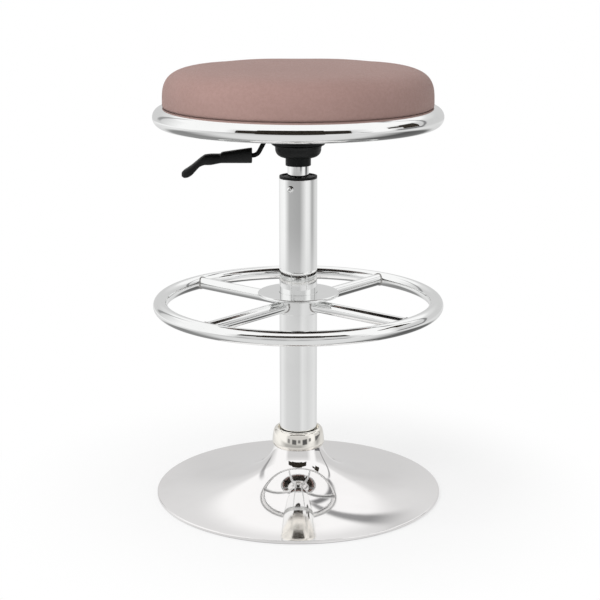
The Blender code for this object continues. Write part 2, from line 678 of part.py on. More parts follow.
def build_gas_cylinder(carrier, button_carrier):
    """Cylinder of the gas spring with its rod guide, and the release button in its end."""
    bore = CYLINDER_RADIUS - CYLINDER_WALL
    end_bottom = CYLINDER_TOP - CYLINDER_END
    end_hole = BUTTON_STEM + HOLE_EASE
    taper_start = HUB_BOTTOM + CYLINDER_TAPER_START
    lip_top = CYLINDER_FOOT + CYLINDER_LIP
    outline = [(CYLINDER_LIP_BORE, CYLINDER_FOOT), (CYLINDER_RADIUS, CYLINDER_FOOT),
               (CYLINDER_RADIUS, taper_start), (cylinder_at(CYLINDER_TOP), CYLINDER_TOP),
               (end_hole, CYLINDER_TOP), (end_hole, end_bottom), (bore, end_bottom), (bore, lip_top),
               (CYLINDER_LIP_BORE, lip_top)]
    piece("gas_cylinder", lathe(outline, TURN_INNER), CHROME, carrier)

    guide_bottom = lip_top + FIT
    guide_top = guide_bottom + GUIDE_LENGTH
    slide = ROD_RADIUS + RUNNING_FIT
    guide = [(slide, guide_bottom), (bore - FIT, guide_bottom), (bore - FIT, guide_top), (slide, guide_top)]
    piece("rod_guide", lathe(guide, TURN_INNER), STEEL, carrier)

    stem_bottom = end_bottom - BUTTON_DEPTH
    button = [(0.0, stem_bottom), (BUTTON_STEM, stem_bottom), (BUTTON_STEM, BUTTON_HEAD_BOTTOM),
              (BUTTON_HEAD, BUTTON_HEAD_BOTTOM), (BUTTON_HEAD, BUTTON_TOP), (0.0, BUTTON_TOP)]
    piece("valve_button", lathe(button, TURN_INNER), STEEL, button_carrier)


def build_hub(carrier):
    """Taper hub that sits on the cylinder, and the moulded dome that hides its weld."""
    hub_top = PAN_FLOOR + HUB_ABOVE_PAN
    taper_start = HUB_BOTTOM + CYLINDER_TAPER_START
    hub = [(CYLINDER_RADIUS + FIT, HUB_BOTTOM), (HUB_RADIUS, HUB_BOTTOM), (HUB_RADIUS, hub_top),
           (cylinder_at(hub_top) + FIT, hub_top), (CYLINDER_RADIUS + FIT, taper_start)]
    piece("taper_hub", lathe(hub, TURN_COLUMN), BLACK_STEEL, carrier)

    hole = HUB_RADIUS + FIT
    corner = (DOME_RADIUS - DOME_CORNER, DOME_BOTTOM + DOME_CORNER)
    flare = (DOME_RADIUS + DOME_FLARE, DOME_TOP - DOME_FLARE_HEIGHT)
    thin = (DOME_FLARE + DOME_WALL, DOME_FLARE_HEIGHT + DOME_WALL)
    meet = math.degrees(math.asin(DOME_FLARE_HEIGHT / thin[1]))
    inner_corner = DOME_CORNER - DOME_WALL
    outside = arc(corner, (DOME_CORNER, DOME_CORNER), -90.0, 0.0, 4)
    outside += arc(flare, (DOME_FLARE, DOME_FLARE_HEIGHT), 180.0, 90.0, 3)
    inside = arc(flare, thin, 180.0 - meet, 180.0, 2)
    inside += arc(corner, (inner_corner, inner_corner), 0.0, -90.0, 2)
    outline = [(hole, DOME_BOTTOM)] + outside + inside + [(hole, DOME_BOTTOM + DOME_WALL)]
    piece("hub_cover", lathe(outline, TURN_COLUMN), BLACK_PLASTIC, carrier)


def bolt_places():
    """Bolt centres at the corners of a square."""
    half = BOLT_SPACING / 2
    return [(x, y) for x in (-half, half) for y in (-half, half)]


def build_plate(carrier):
    """Pressed mechanism plate with its pan, bolted to inserts in the seat board."""
    outer = PAN_RADIUS
    inner = PAN_RADIUS - PLATE_SHEET
    under = PLATE_TOP - PLATE_SHEET
    hole = HUB_RADIUS + FIT
    bend = (PAN_BEND, PAN_BEND)
    outline = [(hole, PAN_BOTTOM)]
    outline += arc((outer - PAN_BEND, PAN_BOTTOM + PAN_BEND), bend, -90.0, 0.0, 2)
    outline += [(outer, under - PAN_BEND), (outer + PAN_BEND, under), (PLATE_HALF, under),
                (PLATE_HALF, PLATE_TOP), (inner + PAN_BEND, PLATE_TOP), (inner, PLATE_TOP - PAN_BEND),
                (inner, PAN_FLOOR), (hole, PAN_FLOOR)]
    mesh = reshape(lathe(outline, TURN_LARGE), (outer + PAN_BEND + PLATE_HALF) / 2, squircle)
    plate = piece("mechanism_plate", mesh, BLACK_STEEL, carrier)

    holes = bmesh.new()
    for x, y in bolt_places():
        add_rod(holes, BOLT_RADIUS + HOLE_EASE, (x, y, under - CUT_PAST), (x, y, PLATE_TOP + CUT_PAST))
    cut(plate, holes)
    half = LEVER_ROD + 2 * SLOT_EASE
    low = LEVER_LEVEL - LEVER_ROD - SLOT_BELOW
    high = LEVER_LEVEL + LEVER_ROD + LEVER_SWING
    slot = [(half, low), (half, high), (-half, high), (-half, low)]
    ends = (-inner + PLATE_SHEET, -outer - CUT_PAST)
    cut(plate, skin([[(x, y, z) for y, z in slot] for x in ends]))

    head_top = under - FIT
    head_bottom = head_top - BOLT_HEAD_HEIGHT
    bolt = [(0.0, head_bottom), (BOLT_HEAD, head_bottom), (BOLT_HEAD, head_top), (BOLT_RADIUS, head_top),
            (BOLT_RADIUS, BOLT_TIP), (0.0, BOLT_TIP)]
    bore = BOLT_RADIUS + FIT
    insert_top = BOARD_BOTTOM + INSERT_LENGTH
    insert = [(bore, BOARD_BOTTOM), (bore + INSERT_WALL, BOARD_BOTTOM), (bore + INSERT_WALL, insert_top),
              (bore, insert_top)]
    for index, (x, y) in enumerate(bolt_places()):
        hex_bolt = reshape(lathe(bolt, TURN_SCREW), (BOLT_RADIUS + BOLT_HEAD) / 2, hexagon)
        piece(f"plate_bolt_{index + 1}", hex_bolt, STEEL, carrier, (x, y, 0.0))
        piece(f"board_insert_{index + 1}", lathe(insert, TURN_SCREW), STEEL, carrier, (x, y, 0.0))


def build_lever_bracket(carrier):
    """Bracket on the pan's floor whose ears hold the lever's pin."""
    inner = BOSS_HALF + SLOT_EASE / 2
    outer = inner + EAR_THICKNESS
    bottom = PAN_FLOOR + FIT
    floor = bottom + BRACKET_FLOOR
    top = LEVER_LEVEL + EAR_ABOVE_PIN
    outline = [(-outer, bottom), (outer, bottom), (outer, top), (inner, top), (inner, floor),
               (-inner, floor), (-inner, top), (-outer, top)]
    ends = (-LEVER_PIVOT - BRACKET_HALF_LENGTH, -LEVER_PIVOT + BRACKET_HALF_LENGTH)
    mesh = skin([[(x, y, z) for y, z in outline] for x in ends])
    corners = [edge for edge in mesh.edges
               if all(abs(vert.co.z - top) < MERGE for vert in edge.verts)
               and abs(edge.verts[0].co.x - edge.verts[1].co.x) < MERGE]
    bmesh.ops.bevel(mesh, geom=corners, offset=EAR_ROUND, segments=3, profile=0.5, affect="EDGES")
    bracket = piece("lever_bracket", mesh, BLACK_STEEL, carrier)
    past = outer + CUT_PAST
    cut(bracket, add_rod(bmesh.new(), PIN_RADIUS + FIT, (-LEVER_PIVOT, -past, LEVER_LEVEL),
                         (-LEVER_PIVOT, past, LEVER_LEVEL)))

    seat = outer + FIT
    end = seat + PIN_HEAD_THICKNESS
    pin = [(0.0, -end), (PIN_HEAD, -end), (PIN_HEAD, -seat), (PIN_RADIUS, -seat), (PIN_RADIUS, seat),
           (PIN_HEAD, seat), (PIN_HEAD, end), (0.0, end)]
    piece("lever_pin", lathe(pin, TURN_SCREW), STEEL, carrier,
          (-LEVER_PIVOT, 0.0, LEVER_LEVEL), (math.radians(90.0), 0.0, 0.0))


def lever_start():
    """Place along X at which the lever's rod starts to bend down, in the pan's wall."""
    return PLATE_SHEET - PAN_RADIUS


def lever_foot():
    """Place along X at which the lever's rod is level again."""
    slope = math.radians(LEVER_SLOPE)
    bends = LEVER_BEND_UPPER + LEVER_BEND_LOWER
    straight = (LEVER_DROP - bends * (1.0 - math.cos(slope))) / math.tan(slope)
    return lever_start() - bends * math.sin(slope) - straight


def handle_root():
    """Place along X of the handle's inner end."""
    return lever_foot() - HANDLE_ROOT


def lever_path():
    """Centre line of the lever's rod in the XZ plane, from over the button to inside the handle."""
    upper = (lever_start(), LEVER_LEVEL - LEVER_BEND_UPPER)
    lower = (lever_foot(), HANDLE_LEVEL + LEVER_BEND_LOWER)
    path = [(LEVER_REACH, LEVER_LEVEL)]
    path += arc(upper, (LEVER_BEND_UPPER, LEVER_BEND_UPPER), 90.0, 90.0 + LEVER_SLOPE, LEVER_BEND_STEPS)
    path += arc(lower, (LEVER_BEND_LOWER, LEVER_BEND_LOWER), LEVER_SLOPE - 90.0, -90.0, LEVER_BEND_STEPS)
    path.append((handle_root() - LEVER_SOCKET, HANDLE_LEVEL))
    return path


def sweep(path, radius, sides):
    """Round bar along a path in the XZ plane."""
    rings = []
    for index, point in enumerate(path):
        before = Vector(path[max(index - 1, 0)])
        after = Vector(path[min(index + 1, len(path) - 1)])
        run = (after - before).normalized()
        ring = []
        for side in range(sides):
            angle = math.tau * (side + 0.5) / sides
            lift = radius * math.sin(angle)
            ring.append((point[0] - run.y * lift, radius * math.cos(angle), point[1] + run.x * lift))
        rings.append(ring)
    return skin(rings)


def handle_section(outward, rise, half_height, half_width):
    """Rounded section of the handle at a distance out from its root."""
    power = 2.0 / HANDLE_SQUARENESS
    ring = []
    for side in range(HANDLE_SIDES):
        angle = math.tau * (side + 0.5) / HANDLE_SIDES
        y = half_width * math.copysign(abs(math.cos(angle)) ** power, math.cos(angle))
        z = half_height * math.copysign(abs(math.sin(angle)) ** power, math.sin(angle))
        ring.append((handle_root() - outward, y, HANDLE_LEVEL + rise + z))
    return ring


def local(mesh, origin):
    """Move a mesh that is drawn in the stool's frame to a piece's own origin."""
    bmesh.ops.translate(mesh, verts=mesh.verts, vec=-Vector(origin))
    return mesh


def build_lever(carrier):
    """Bent rod on its pin, and the moulded handle pressed on its outer end."""
    origin = (-LEVER_PIVOT, 0.0, LEVER_LEVEL)
    bar = local(sweep(lever_path(), LEVER_ROD, TUBE_SIDES), origin)
    rod = piece("lever_rod", bar, BLACK_STEEL, carrier, origin)
    boss = add_rod(bmesh.new(), BOSS_RADIUS, (0.0, -BOSS_HALF, 0.0), (0.0, BOSS_HALF, 0.0))
    combine(rod, boss, "UNION")
    past = BOSS_HALF + CUT_PAST
    cut(rod, add_rod(bmesh.new(), PIN_RADIUS + FIT, (0.0, -past, 0.0), (0.0, past, 0.0)))

    mesh = skin([handle_section(*section) for section in HANDLE_SECTIONS])
    handle = piece("lever_handle", local(mesh, origin), BLACK_PLASTIC, carrier, origin)
    root = handle_root()
    hole = add_rod(bmesh.new(), LEVER_ROD + FIT, (root + CUT_PAST, 0.0, HANDLE_LEVEL),
                   (root - LEVER_SOCKET - FIT, 0.0, HANDLE_LEVEL), TUBE_SIDES * 2)
    cut(handle, local(hole, origin))


def cushion(inset):
    """Section of the cushion from its crown to under its edge, a depth below the cover's skin."""
    width = SEAT_RADIUS - inset
    height = CROWN_HEIGHT - inset
    power = 2.0 / CROWN_POWER
    points = [(0.0, CROWN_LEVEL + height)]
    for step in range(1, CROWN_STEPS + 1):
        angle = math.pi / 2 * (1.0 - step / CROWN_STEPS)
        points.append((width * math.cos(angle) ** power, CROWN_LEVEL + height * math.sin(angle) ** power))
    groove = SEAT_TUBE + FIT + inset
    shelf = BOARD_TOP - COVER + inset
    crease_turn = math.asin((CREASE_INSET + 2 * inset) / groove)
    shelf_turn = math.acos((shelf - RING_LEVEL) / groove)
    under = arc((SEAT_RING_RADIUS, RING_LEVEL), (groove, groove), 90.0 + math.degrees(crease_turn),
                90.0 + math.degrees(shelf_turn), GROOVE_STEPS)
    drop = CROWN_LEVEL - under[0][1]
    side = bow((width, CROWN_LEVEL), (width, CROWN_LEVEL - SIDE_FULLNESS * drop), under[0], SIDE_STEPS)
    return points[:-1] + side + under[1:]


def hem(inset):
    """Section of the cover from the cushion's edge round the board to under it."""
    wall = BOARD_RADIUS + FIT + COVER - inset
    return [(wall, BOARD_TOP - COVER + inset), (wall, HEM_BOTTOM + inset), (HEM_RADIUS, HEM_BOTTOM + inset)]


def build_cushion(carrier):
    """Plywood board, foam, stretched cover and the lining under the seat."""
    screws = [polar(TAB_START, TAB_AZIMUTH + 360.0 * index / TAB_COUNT) for index in range(TAB_COUNT)]

    def drill(target, bolt_hole, screw_hole, bottom, bolt_top, screw_top):
        holes = bmesh.new()
        for x, y in bolt_places():
            add_rod(holes, bolt_hole, (x, y, bottom), (x, y, bolt_top))
        for place in screws:
            add_rod(holes, screw_hole, (place.x, place.y, bottom), (place.x, place.y, screw_top))
        cut(target, holes)

    outline = [(0.0, BOARD_BOTTOM), (BOARD_RADIUS, BOARD_BOTTOM), (BOARD_RADIUS, BOARD_TOP), (0.0, BOARD_TOP)]
    board = piece("seat_board", lathe(outline, TURN_LARGE), PLYWOOD, carrier)
    drill(board, BOLT_RADIUS + FIT + INSERT_WALL + FIT, TAB_SCREW + FIT, BOARD_BOTTOM - CUT_PAST,
          BOARD_TOP + CUT_PAST, TAB_SCREW_TIP + FIT)

    lining_top = DUST_BOTTOM + DUST_THICKNESS
    outline = [(0.0, DUST_BOTTOM), (DUST_RADIUS, DUST_BOTTOM), (DUST_RADIUS, lining_top), (0.0, lining_top)]
    lining = piece("seat_dust_cover", lathe(outline, TURN_LARGE), LINING, carrier)
    drill(lining, BOLT_RADIUS + FIT, TAB_SCREW + FIT, DUST_BOTTOM - CUT_PAST,
          lining_top + CUT_PAST, lining_top + CUT_PAST)

    foam = cushion(COVER + FIT) + [(0.0, BOARD_TOP + FIT)]
    piece("seat_foam", lathe(foam, TURN_LARGE), FOAM, carrier)
    outside = cushion(0.0) + hem(0.0)
    inside = cushion(COVER) + hem(COVER)
    piece("seat_cover", lathe(outside + inside[::-1], TURN_LARGE), VINYL, carrier)


def tab_mesh():
    """Flat tab along +X with a round inner end and an outer end cut to the ring's tube."""
    half = TAB_WIDTH / 2
    levels = (PLATE_TOP - TAB_THICKNESS, PLATE_TOP)
    round_end = arc((TAB_START, 0.0), (half, half), 90.0, 270.0, TAB_END_STEPS)
    rings = []
    for level in levels:
        tube = math.sqrt((SEAT_TUBE + FIT) ** 2 - (level - RING_LEVEL) ** 2)
        end = math.sqrt((SEAT_RING_RADIUS * FLAT_SHARE - tube) ** 2 - half ** 2)
        rings.append([(x, y, level) for x, y in round_end + [(end, -half), (end, half)]])
    return skin(rings)


def build_seat_ring(carrier):
    """Chrome ring under the cushion, on four tabs screwed to the board."""
    piece("seat_ring", tube_ring(SEAT_RING_RADIUS, SEAT_TUBE, RING_LEVEL), CHROME, carrier)
    under = PLATE_TOP - TAB_THICKNESS
    head_top = under - FIT
    head_bottom = head_top - TAB_SCREW_HEAD_HEIGHT
    screw = [(0.0, head_bottom), (TAB_SCREW_HEAD, head_bottom), (TAB_SCREW_HEAD, head_top),
             (TAB_SCREW, head_top), (TAB_SCREW, TAB_SCREW_TIP), (0.0, TAB_SCREW_TIP)]
    for index in range(TAB_COUNT):
        azimuth = TAB_AZIMUTH + 360.0 * index / TAB_COUNT
        tab = piece(f"ring_tab_{index + 1}", tab_mesh(), CHROME, carrier,
                    turn=(0.0, 0.0, math.radians(azimuth)))
        cut(tab, add_rod(bmesh.new(), TAB_SCREW + HOLE_EASE, (TAB_START, 0.0, under - CUT_PAST),
                         (TAB_START, 0.0, PLATE_TOP + CUT_PAST)))
        piece(f"tab_screw_{index + 1}", lathe(screw, TURN_SCREW), STEEL, carrier, polar(TAB_START, azimuth))


def main():
    """Build the stool on the empties that its joints turn and slide about."""
    clear_scene()
    base = pivot("base_frame", Vector((0.0, 0.0, 0.0)))
    lift = pivot("swivel_axis", Vector((0.0, 0.0, CAGE_LEVEL)), base)
    seat = pivot("height_axis", Vector((0.0, 0.0, CYLINDER_FOOT)), lift)
    lever = pivot("lever_axis", Vector((-LEVER_PIVOT, 0.0, LEVER_LEVEL)), seat)
    button = pivot("button_axis", Vector((0.0, 0.0, CYLINDER_TOP)), seat)
    build_base(base)
    build_column(base)
    build_foot_rest(base)
    build_bearing(base, lift)
    build_lift_rod(lift)
    build_gas_cylinder(seat, button)
    build_hub(seat)
    build_plate(seat)
    build_lever_bracket(seat)
    build_cushion(seat)
    build_seat_ring(seat)
    build_lever(lever)


main()
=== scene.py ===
"""Finished look of a gas-lift bar stool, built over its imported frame.

Lengths are metres, +Z is up, the origin is on the floor under the column, and the release lever
points to -X. The lift stands at its lowest.
"""

import logging
import math
from dataclasses import dataclass, field
from enum import Enum
from typing import Any, Optional, Union

import bmesh
import bpy
from mathutils import Matrix, Vector, noise


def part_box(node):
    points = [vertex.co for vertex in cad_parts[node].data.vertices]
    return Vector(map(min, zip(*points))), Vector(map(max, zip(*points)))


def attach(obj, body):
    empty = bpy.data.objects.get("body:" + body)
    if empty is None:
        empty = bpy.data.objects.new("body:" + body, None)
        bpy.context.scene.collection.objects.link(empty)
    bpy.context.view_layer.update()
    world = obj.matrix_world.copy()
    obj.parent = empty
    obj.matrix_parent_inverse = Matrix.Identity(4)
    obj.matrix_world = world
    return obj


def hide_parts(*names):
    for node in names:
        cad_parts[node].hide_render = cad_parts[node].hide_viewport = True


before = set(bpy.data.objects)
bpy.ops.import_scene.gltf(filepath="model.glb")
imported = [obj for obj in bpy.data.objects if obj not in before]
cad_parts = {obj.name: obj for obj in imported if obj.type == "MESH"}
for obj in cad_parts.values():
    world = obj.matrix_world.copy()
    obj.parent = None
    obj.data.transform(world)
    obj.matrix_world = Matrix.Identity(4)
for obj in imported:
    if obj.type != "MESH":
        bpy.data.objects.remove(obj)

LOG = logging.getLogger("bar_stool")
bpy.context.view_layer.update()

Spot = tuple[float, float]
Outline = list[Spot]
Place = tuple[float, float, float]
Colour = tuple[float, float, float]
Ring = list[Place]

TURN_STEPS = 160
SCREW_STEPS = 32
SMOOTH_ANGLE = math.radians(38.0)
CLOTH_ANGLE = math.radians(60.0)
SHORT_SHARE = 0.25
FIT = 0.0003
WHITE: Colour = (1.0, 1.0, 1.0)


class Body(Enum):
    """Bodies of the frame that new pieces ride on."""

    BASE = "base"
    SEAT = "seat"
    LEVER = "lever"


class Slot(Enum):
    """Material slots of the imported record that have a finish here."""

    CHROME = "chrome"
    STEEL = "steel"
    BLACK_STEEL = "black_steel"
    BLACK_PLASTIC = "black_plastic"
    RUBBER = "rubber"
    PLYWOOD = "plywood"
    VINYL = "vinyl"
    LINING = "lining"


class Signal:
    """Output of a node, with arithmetic on values that adds Math nodes."""

    def __init__(self, bench: "Bench", socket: bpy.types.NodeSocket) -> None:
        """Keep the socket and the bench that its node stands on."""
        self.bench = bench
        self.socket = socket

    def other(self, output: Union[str, int]) -> "Signal":
        """Another output of the same node."""
        return Signal(self.bench, self.socket.node.outputs[output])

    def join(self, operation: str, first: Any, second: Any = 0.0) -> "Signal":
        """Math node on two values."""
        return self.bench.node("ShaderNodeMath", {"operation": operation}, {0: first, 1: second})

    def __add__(self, value: Any) -> "Signal":
        """Sum."""
        return self.join("ADD", self, value)

    def __radd__(self, value: Any) -> "Signal":
        """Sum with a plain number first."""
        return self.join("ADD", value, self)

    def __sub__(self, value: Any) -> "Signal":
        """Difference."""
        return self.join("SUBTRACT", self, value)

    def __rsub__(self, value: Any) -> "Signal":
        """Difference from a plain number."""
        return self.join("SUBTRACT", value, self)

    def __mul__(self, value: Any) -> "Signal":
        """Product."""
        return self.join("MULTIPLY", self, value)

    def __rmul__(self, value: Any) -> "Signal":
        """Product with a plain number first."""
        return self.join("MULTIPLY", value, self)

    def __truediv__(self, value: Any) -> "Signal":
        """Quotient."""
        return self.join("DIVIDE", self, value)

    def __rtruediv__(self, value: Any) -> "Signal":
        """Quotient of a plain number."""
        return self.join("DIVIDE", value, self)

    def eased(self, low: float, high: float) -> "Signal":
        """Share from 0 at one value to 1 at another, smooth at both ends."""
        return self.bench.node("ShaderNodeMapRange", {"interpolation_type": "SMOOTHSTEP"},
                               {"Value": self, "From Min": low, "From Max": high})


class Bench:
    """Node tree under construction."""

    def __init__(self, tree: bpy.types.NodeTree) -> None:
        """Work on a tree."""
        self.tree = tree

    def node(self, kind: str, settings: Optional[dict[str, Any]] = None,
             inputs: Optional[dict[Union[str, int], Any]] = None, output: Union[str, int] = 0) -> Signal:
        """Add a node.

        Args:
            kind: The node's type.
            settings: Properties that are set before the sockets; "stops" fills a colour ramp.
            inputs: Value or link of each socket, by name or number.
            output: The output that is given back.

        Returns:
            The chosen output.
        """
        made = self.tree.nodes.new(kind)
        for name, value in (settings or {}).items():
            if name == "stops":
                self.fill_ramp(made.color_ramp, value)
            else:
                setattr(made, name, value)
        for name, value in (inputs or {}).items():
            self.feed(made.inputs[name], value)
        return Signal(self, made.outputs[output])

    def feed(self, socket: bpy.types.NodeSocket, value: Any) -> None:
        """Link a signal to a socket, or set a plain value on it.

        Args:
            socket: Input of a node.
            value: Signal or plain value.
        """
        if isinstance(value, Signal):
            self.tree.links.new(value.socket, socket)
        else:
            socket.default_value = value

    @staticmethod
    def fill_ramp(ramp: bpy.types.ColorRamp, stops: list[tuple[float, Colour]]) -> None:
        """Put a list of places and colours on a colour ramp.

        Args:
            ramp: Ramp of a node.
            stops: Places from 0 to 1 with their colours.
        """
        while len(ramp.elements) < len(stops):
            ramp.elements.new(1.0)
        for element, (place, colour) in zip(ramp.elements, stops):
            element.position = place
            element.color = (*colour, 1.0)

    def blend(self, share: Any, first: Any, second: Any) -> Signal:
        """Colour between two colours."""
        pair = [value if isinstance(value, Signal) else (*value, 1.0) for value in (first, second)]
        return self.node("ShaderNodeMix", {"data_type": "RGBA"}, {0: share, 6: pair[0], 7: pair[1]}, 2)

    def spot(self, scale: Place = (1.0, 1.0, 1.0), turn: Place = (0.0, 0.0, 0.0)) -> Signal:
        """Object coordinates, stretched and turned for a pattern."""
        place = self.node("ShaderNodeTexCoord", output="Object")
        return self.node("ShaderNodeMapping", inputs={"Vector": place, "Scale": scale, "Rotation": turn})

    def cloud(self, scale: float, detail: float = 2.0, place: Optional[Signal] = None) -> Signal:
        """Soft noise between 0 and 1."""
        vector = place or self.spot()
        return self.node("ShaderNodeTexNoise", inputs={"Vector": vector, "Scale": scale, "Detail": detail})

    def cells(self, scale: float, feature: str = "DISTANCE_TO_EDGE") -> Signal:
        """Distance inside the cells of a crazed pattern."""
        return self.node("ShaderNodeTexVoronoi", {"feature": feature},
                         {"Vector": self.spot(), "Scale": scale}, "Distance")

    def relief(self, height: Signal, depth: float) -> Signal:
        """Normal that follows a height, where 1 stands for a depth in metres."""
        return self.node("ShaderNodeBump", inputs={"Height": height, "Distance": depth, "Strength": 1.0})


@dataclass(frozen=True)
class Finish:
    """Surface of one kind of material."""

    name: str
    slot: Slot
    metallic: float = 0.0

    def material(self) -> bpy.types.Material:
        """Make the material once.

        Returns:
            The material, the same one each time.
        """
        found = bpy.data.materials.get(self.name)
        if found:
            return found
        made = bpy.data.materials.new(self.name)
        made.use_nodes = True
        shader = made.node_tree.nodes["Principled BSDF"]
        shader.inputs["Metallic"].default_value = self.metallic
        self.paint(Bench(made.node_tree), shader)
        return made

    def paint(self, bench: Bench, shader: bpy.types.Node) -> None:
        """Add the nodes of this finish."""
        raise NotImplementedError


@dataclass(frozen=True)
class Chrome(Finish):
    """Bright plated steel with faint polishing marks and handling haze."""

    bright: Colour = (0.935, 0.94, 0.935)
    dull: Colour = (0.84, 0.845, 0.84)
    stretch: Place = (1.0, 1.0, 1.0)
    sheen: float = 0.035

    def paint(self, bench: Bench, shader: bpy.types.Node) -> None:
        """Polishing marks along the piece, and haze in soft patches.

        Args:
            bench: Node tree of the material.
            shader: Its Principled node.
        """
        marks = bench.cloud(240.0, 3.0, bench.spot(self.stretch))
        haze = bench.cloud(13.0, 4.0).eased(0.45, 0.80)
        specks = 1.0 - bench.cells(95.0, "F1").eased(0.010, 0.030)
        worn = haze * 0.5 + specks * 0.2
        bench.feed(shader.inputs["Base Color"], bench.blend(worn, self.bright, self.dull))
        bench.feed(shader.inputs["Roughness"], self.sheen + marks * 0.02 + haze * 0.035 + specks * 0.10)
        bench.feed(shader.inputs["Normal"], bench.relief(marks + specks * 0.4, 0.000004))


@dataclass(frozen=True)
class ZincSteel(Finish):
    """Zinc-plated steel with fine crystals and a brushed grain."""

    light: Colour = (0.64, 0.64, 0.62)
    dark: Colour = (0.42, 0.42, 0.41)

    def paint(self, bench: Bench, shader: bpy.types.Node) -> None:
        """Crystals of plating under a brushed grain.

        Args:
            bench: Node tree of the material.
            shader: Its Principled node.
        """
        crystals = bench.cells(620.0, "F1").eased(0.1, 0.7)
        grain = bench.cloud(900.0, 3.0, bench.spot((1.0, 1.0, 0.08)))
        share = crystals * 0.6 + grain * 0.4
        bench.feed(shader.inputs["Base Color"], bench.blend(share, self.light, self.dark))
        bench.feed(shader.inputs["Roughness"], 0.24 + grain * 0.16 + crystals * 0.06)
        bench.feed(shader.inputs["Normal"], bench.relief(grain, 0.00001))


@dataclass(frozen=True)
class BlackPaint(Finish):
    """Powder-coated black steel with orange peel and a little dust."""

    deep: Colour = (0.0022, 0.0030, 0.0030)
    dusty: Colour = (0.0100, 0.0115, 0.0115)

    def paint(self, bench: Bench, shader: bpy.types.Node) -> None:
        """Orange peel, with dust in soft patches.

        Args:
            bench: Node tree of the material.
            shader: Its Principled node.
        """
        peel = bench.cloud(820.0, 2.0)
        dust = bench.cloud(34.0, 5.0).eased(0.42, 0.78)
        bench.feed(shader.inputs["Base Color"], bench.blend(dust * 0.7, self.deep, self.dusty))
        bench.feed(shader.inputs["Roughness"], 0.34 + dust * 0.16 + peel * 0.06)
        shader.inputs["Specular IOR Level"].default_value = 0.16
        bench.feed(shader.inputs["Normal"], bench.relief(peel, 0.00004))


@dataclass(frozen=True)
class BlackMoulding(Finish):
    """Injection-moulded black plastic with a fine spark texture."""

    deep: Colour = (0.0048, 0.0052, 0.0052)
    rubbed: Colour = (0.017, 0.018, 0.018)

    def paint(self, bench: Bench, shader: bpy.types.Node) -> None:
        """Spark texture, smoother and paler where hands rub it.

        Args:
            bench: Node tree of the material.
            shader: Its Principled node.
        """
        sparks = bench.cloud(2300.0, 2.0)
        rub = bench.cloud(26.0, 3.0).eased(0.40, 0.75)
        bench.feed(shader.inputs["Base Color"], bench.blend(rub * 0.6 + sparks * 0.3, self.deep, self.rubbed))
        bench.feed(shader.inputs["Roughness"], 0.42 - rub * 0.14 + sparks * 0.06)
        shader.inputs["Specular IOR Level"].default_value = 0.18
        bench.feed(shader.inputs["Normal"], bench.relief(sparks, 0.00003))


@dataclass(frozen=True)
class Rubber(Finish):
    """Dark rubber with mould grain and pale bloom."""

    deep: Colour = (0.012, 0.012, 0.012)
    bloom: Colour = (0.045, 0.044, 0.042)

    def paint(self, bench: Bench, shader: bpy.types.Node) -> None:
        """Bloom in patches over a matt grain.

        Args:
            bench: Node tree of the material.
            shader: Its Principled node.
        """
        grain = bench.cloud(1400.0, 3.0)
        bloom = bench.cloud(45.0, 5.0).eased(0.45, 0.80)
        bench.feed(shader.inputs["Base Color"], bench.blend(bloom, self.deep, self.bloom))
        bench.feed(shader.inputs["Roughness"], 0.68 + grain * 0.2)
        bench.feed(shader.inputs["Normal"], bench.relief(grain, 0.00005))


@dataclass(frozen=True)
class Plywood(Finish):
    """Birch plywood with plies across its edge and grain on its faces."""

    pale: Colour = (0.58, 0.41, 0.25)
    dark: Colour = (0.33, 0.20, 0.10)
    ply: float = 0.0019

    def paint(self, bench: Bench, shader: bpy.types.Node) -> None:
        """Plies by height, and grain along X.

        Args:
            bench: Node tree of the material.
            shader: Its Principled node.
        """
        plies = bench.node("ShaderNodeTexWave", {"bands_direction": "Z"},
                           {"Vector": bench.spot(), "Scale": math.pi / (10.0 * self.ply), "Distortion": 0.6})
        grain = bench.cloud(90.0, 5.0, bench.spot((0.12, 1.0, 1.0)))
        share = plies.other("Fac") * 0.35 + grain.eased(0.35, 0.75) * 0.5
        bench.feed(shader.inputs["Base Color"], bench.blend(share, self.pale, self.dark))
        bench.feed(shader.inputs["Roughness"], 0.58 + grain * 0.2)
        bench.feed(shader.inputs["Normal"], bench.relief(grain, 0.00012))


@dataclass(frozen=True)
class Vinyl(Finish):
    """Dusty mauve upholstery vinyl with a fine pebbled grain."""

    pale: Colour = (0.392, 0.254, 0.228)
    deep: Colour = (0.310, 0.194, 0.172)
    pebble: float = 0.0011

    def paint(self, bench: Bench, shader: bpy.types.Node) -> None:
        """Pebbles parted by creases, over soft changes of shade.

        Args:
            bench: Node tree of the material.
            shader: Its Principled node.
        """
        warp = bench.cloud(260.0, 2.0)
        pebbles = bench.cells(1.0 / self.pebble).eased(0.0, 0.22)
        pores = bench.cloud(3200.0, 2.0)
        mottle = bench.cloud(8.0, 3.0).eased(0.30, 0.72)
        share = mottle * 0.30 + (1.0 - pebbles) * 0.34 + warp.eased(0.36, 0.64) * 0.24
        bench.feed(shader.inputs["Base Color"], bench.blend(share, self.pale, self.deep))
        bench.feed(shader.inputs["Roughness"], 0.50 + warp * 0.10 + (1.0 - pebbles) * 0.10)
        bench.feed(shader.inputs["Normal"], bench.relief(pebbles + pores * 0.25 + warp * 0.9, 0.00016))
        shader.inputs["Specular IOR Level"].default_value = 0.28
        shader.inputs["Sheen Weight"].default_value = 0.03
        shader.inputs["Sheen Roughness"].default_value = 0.45


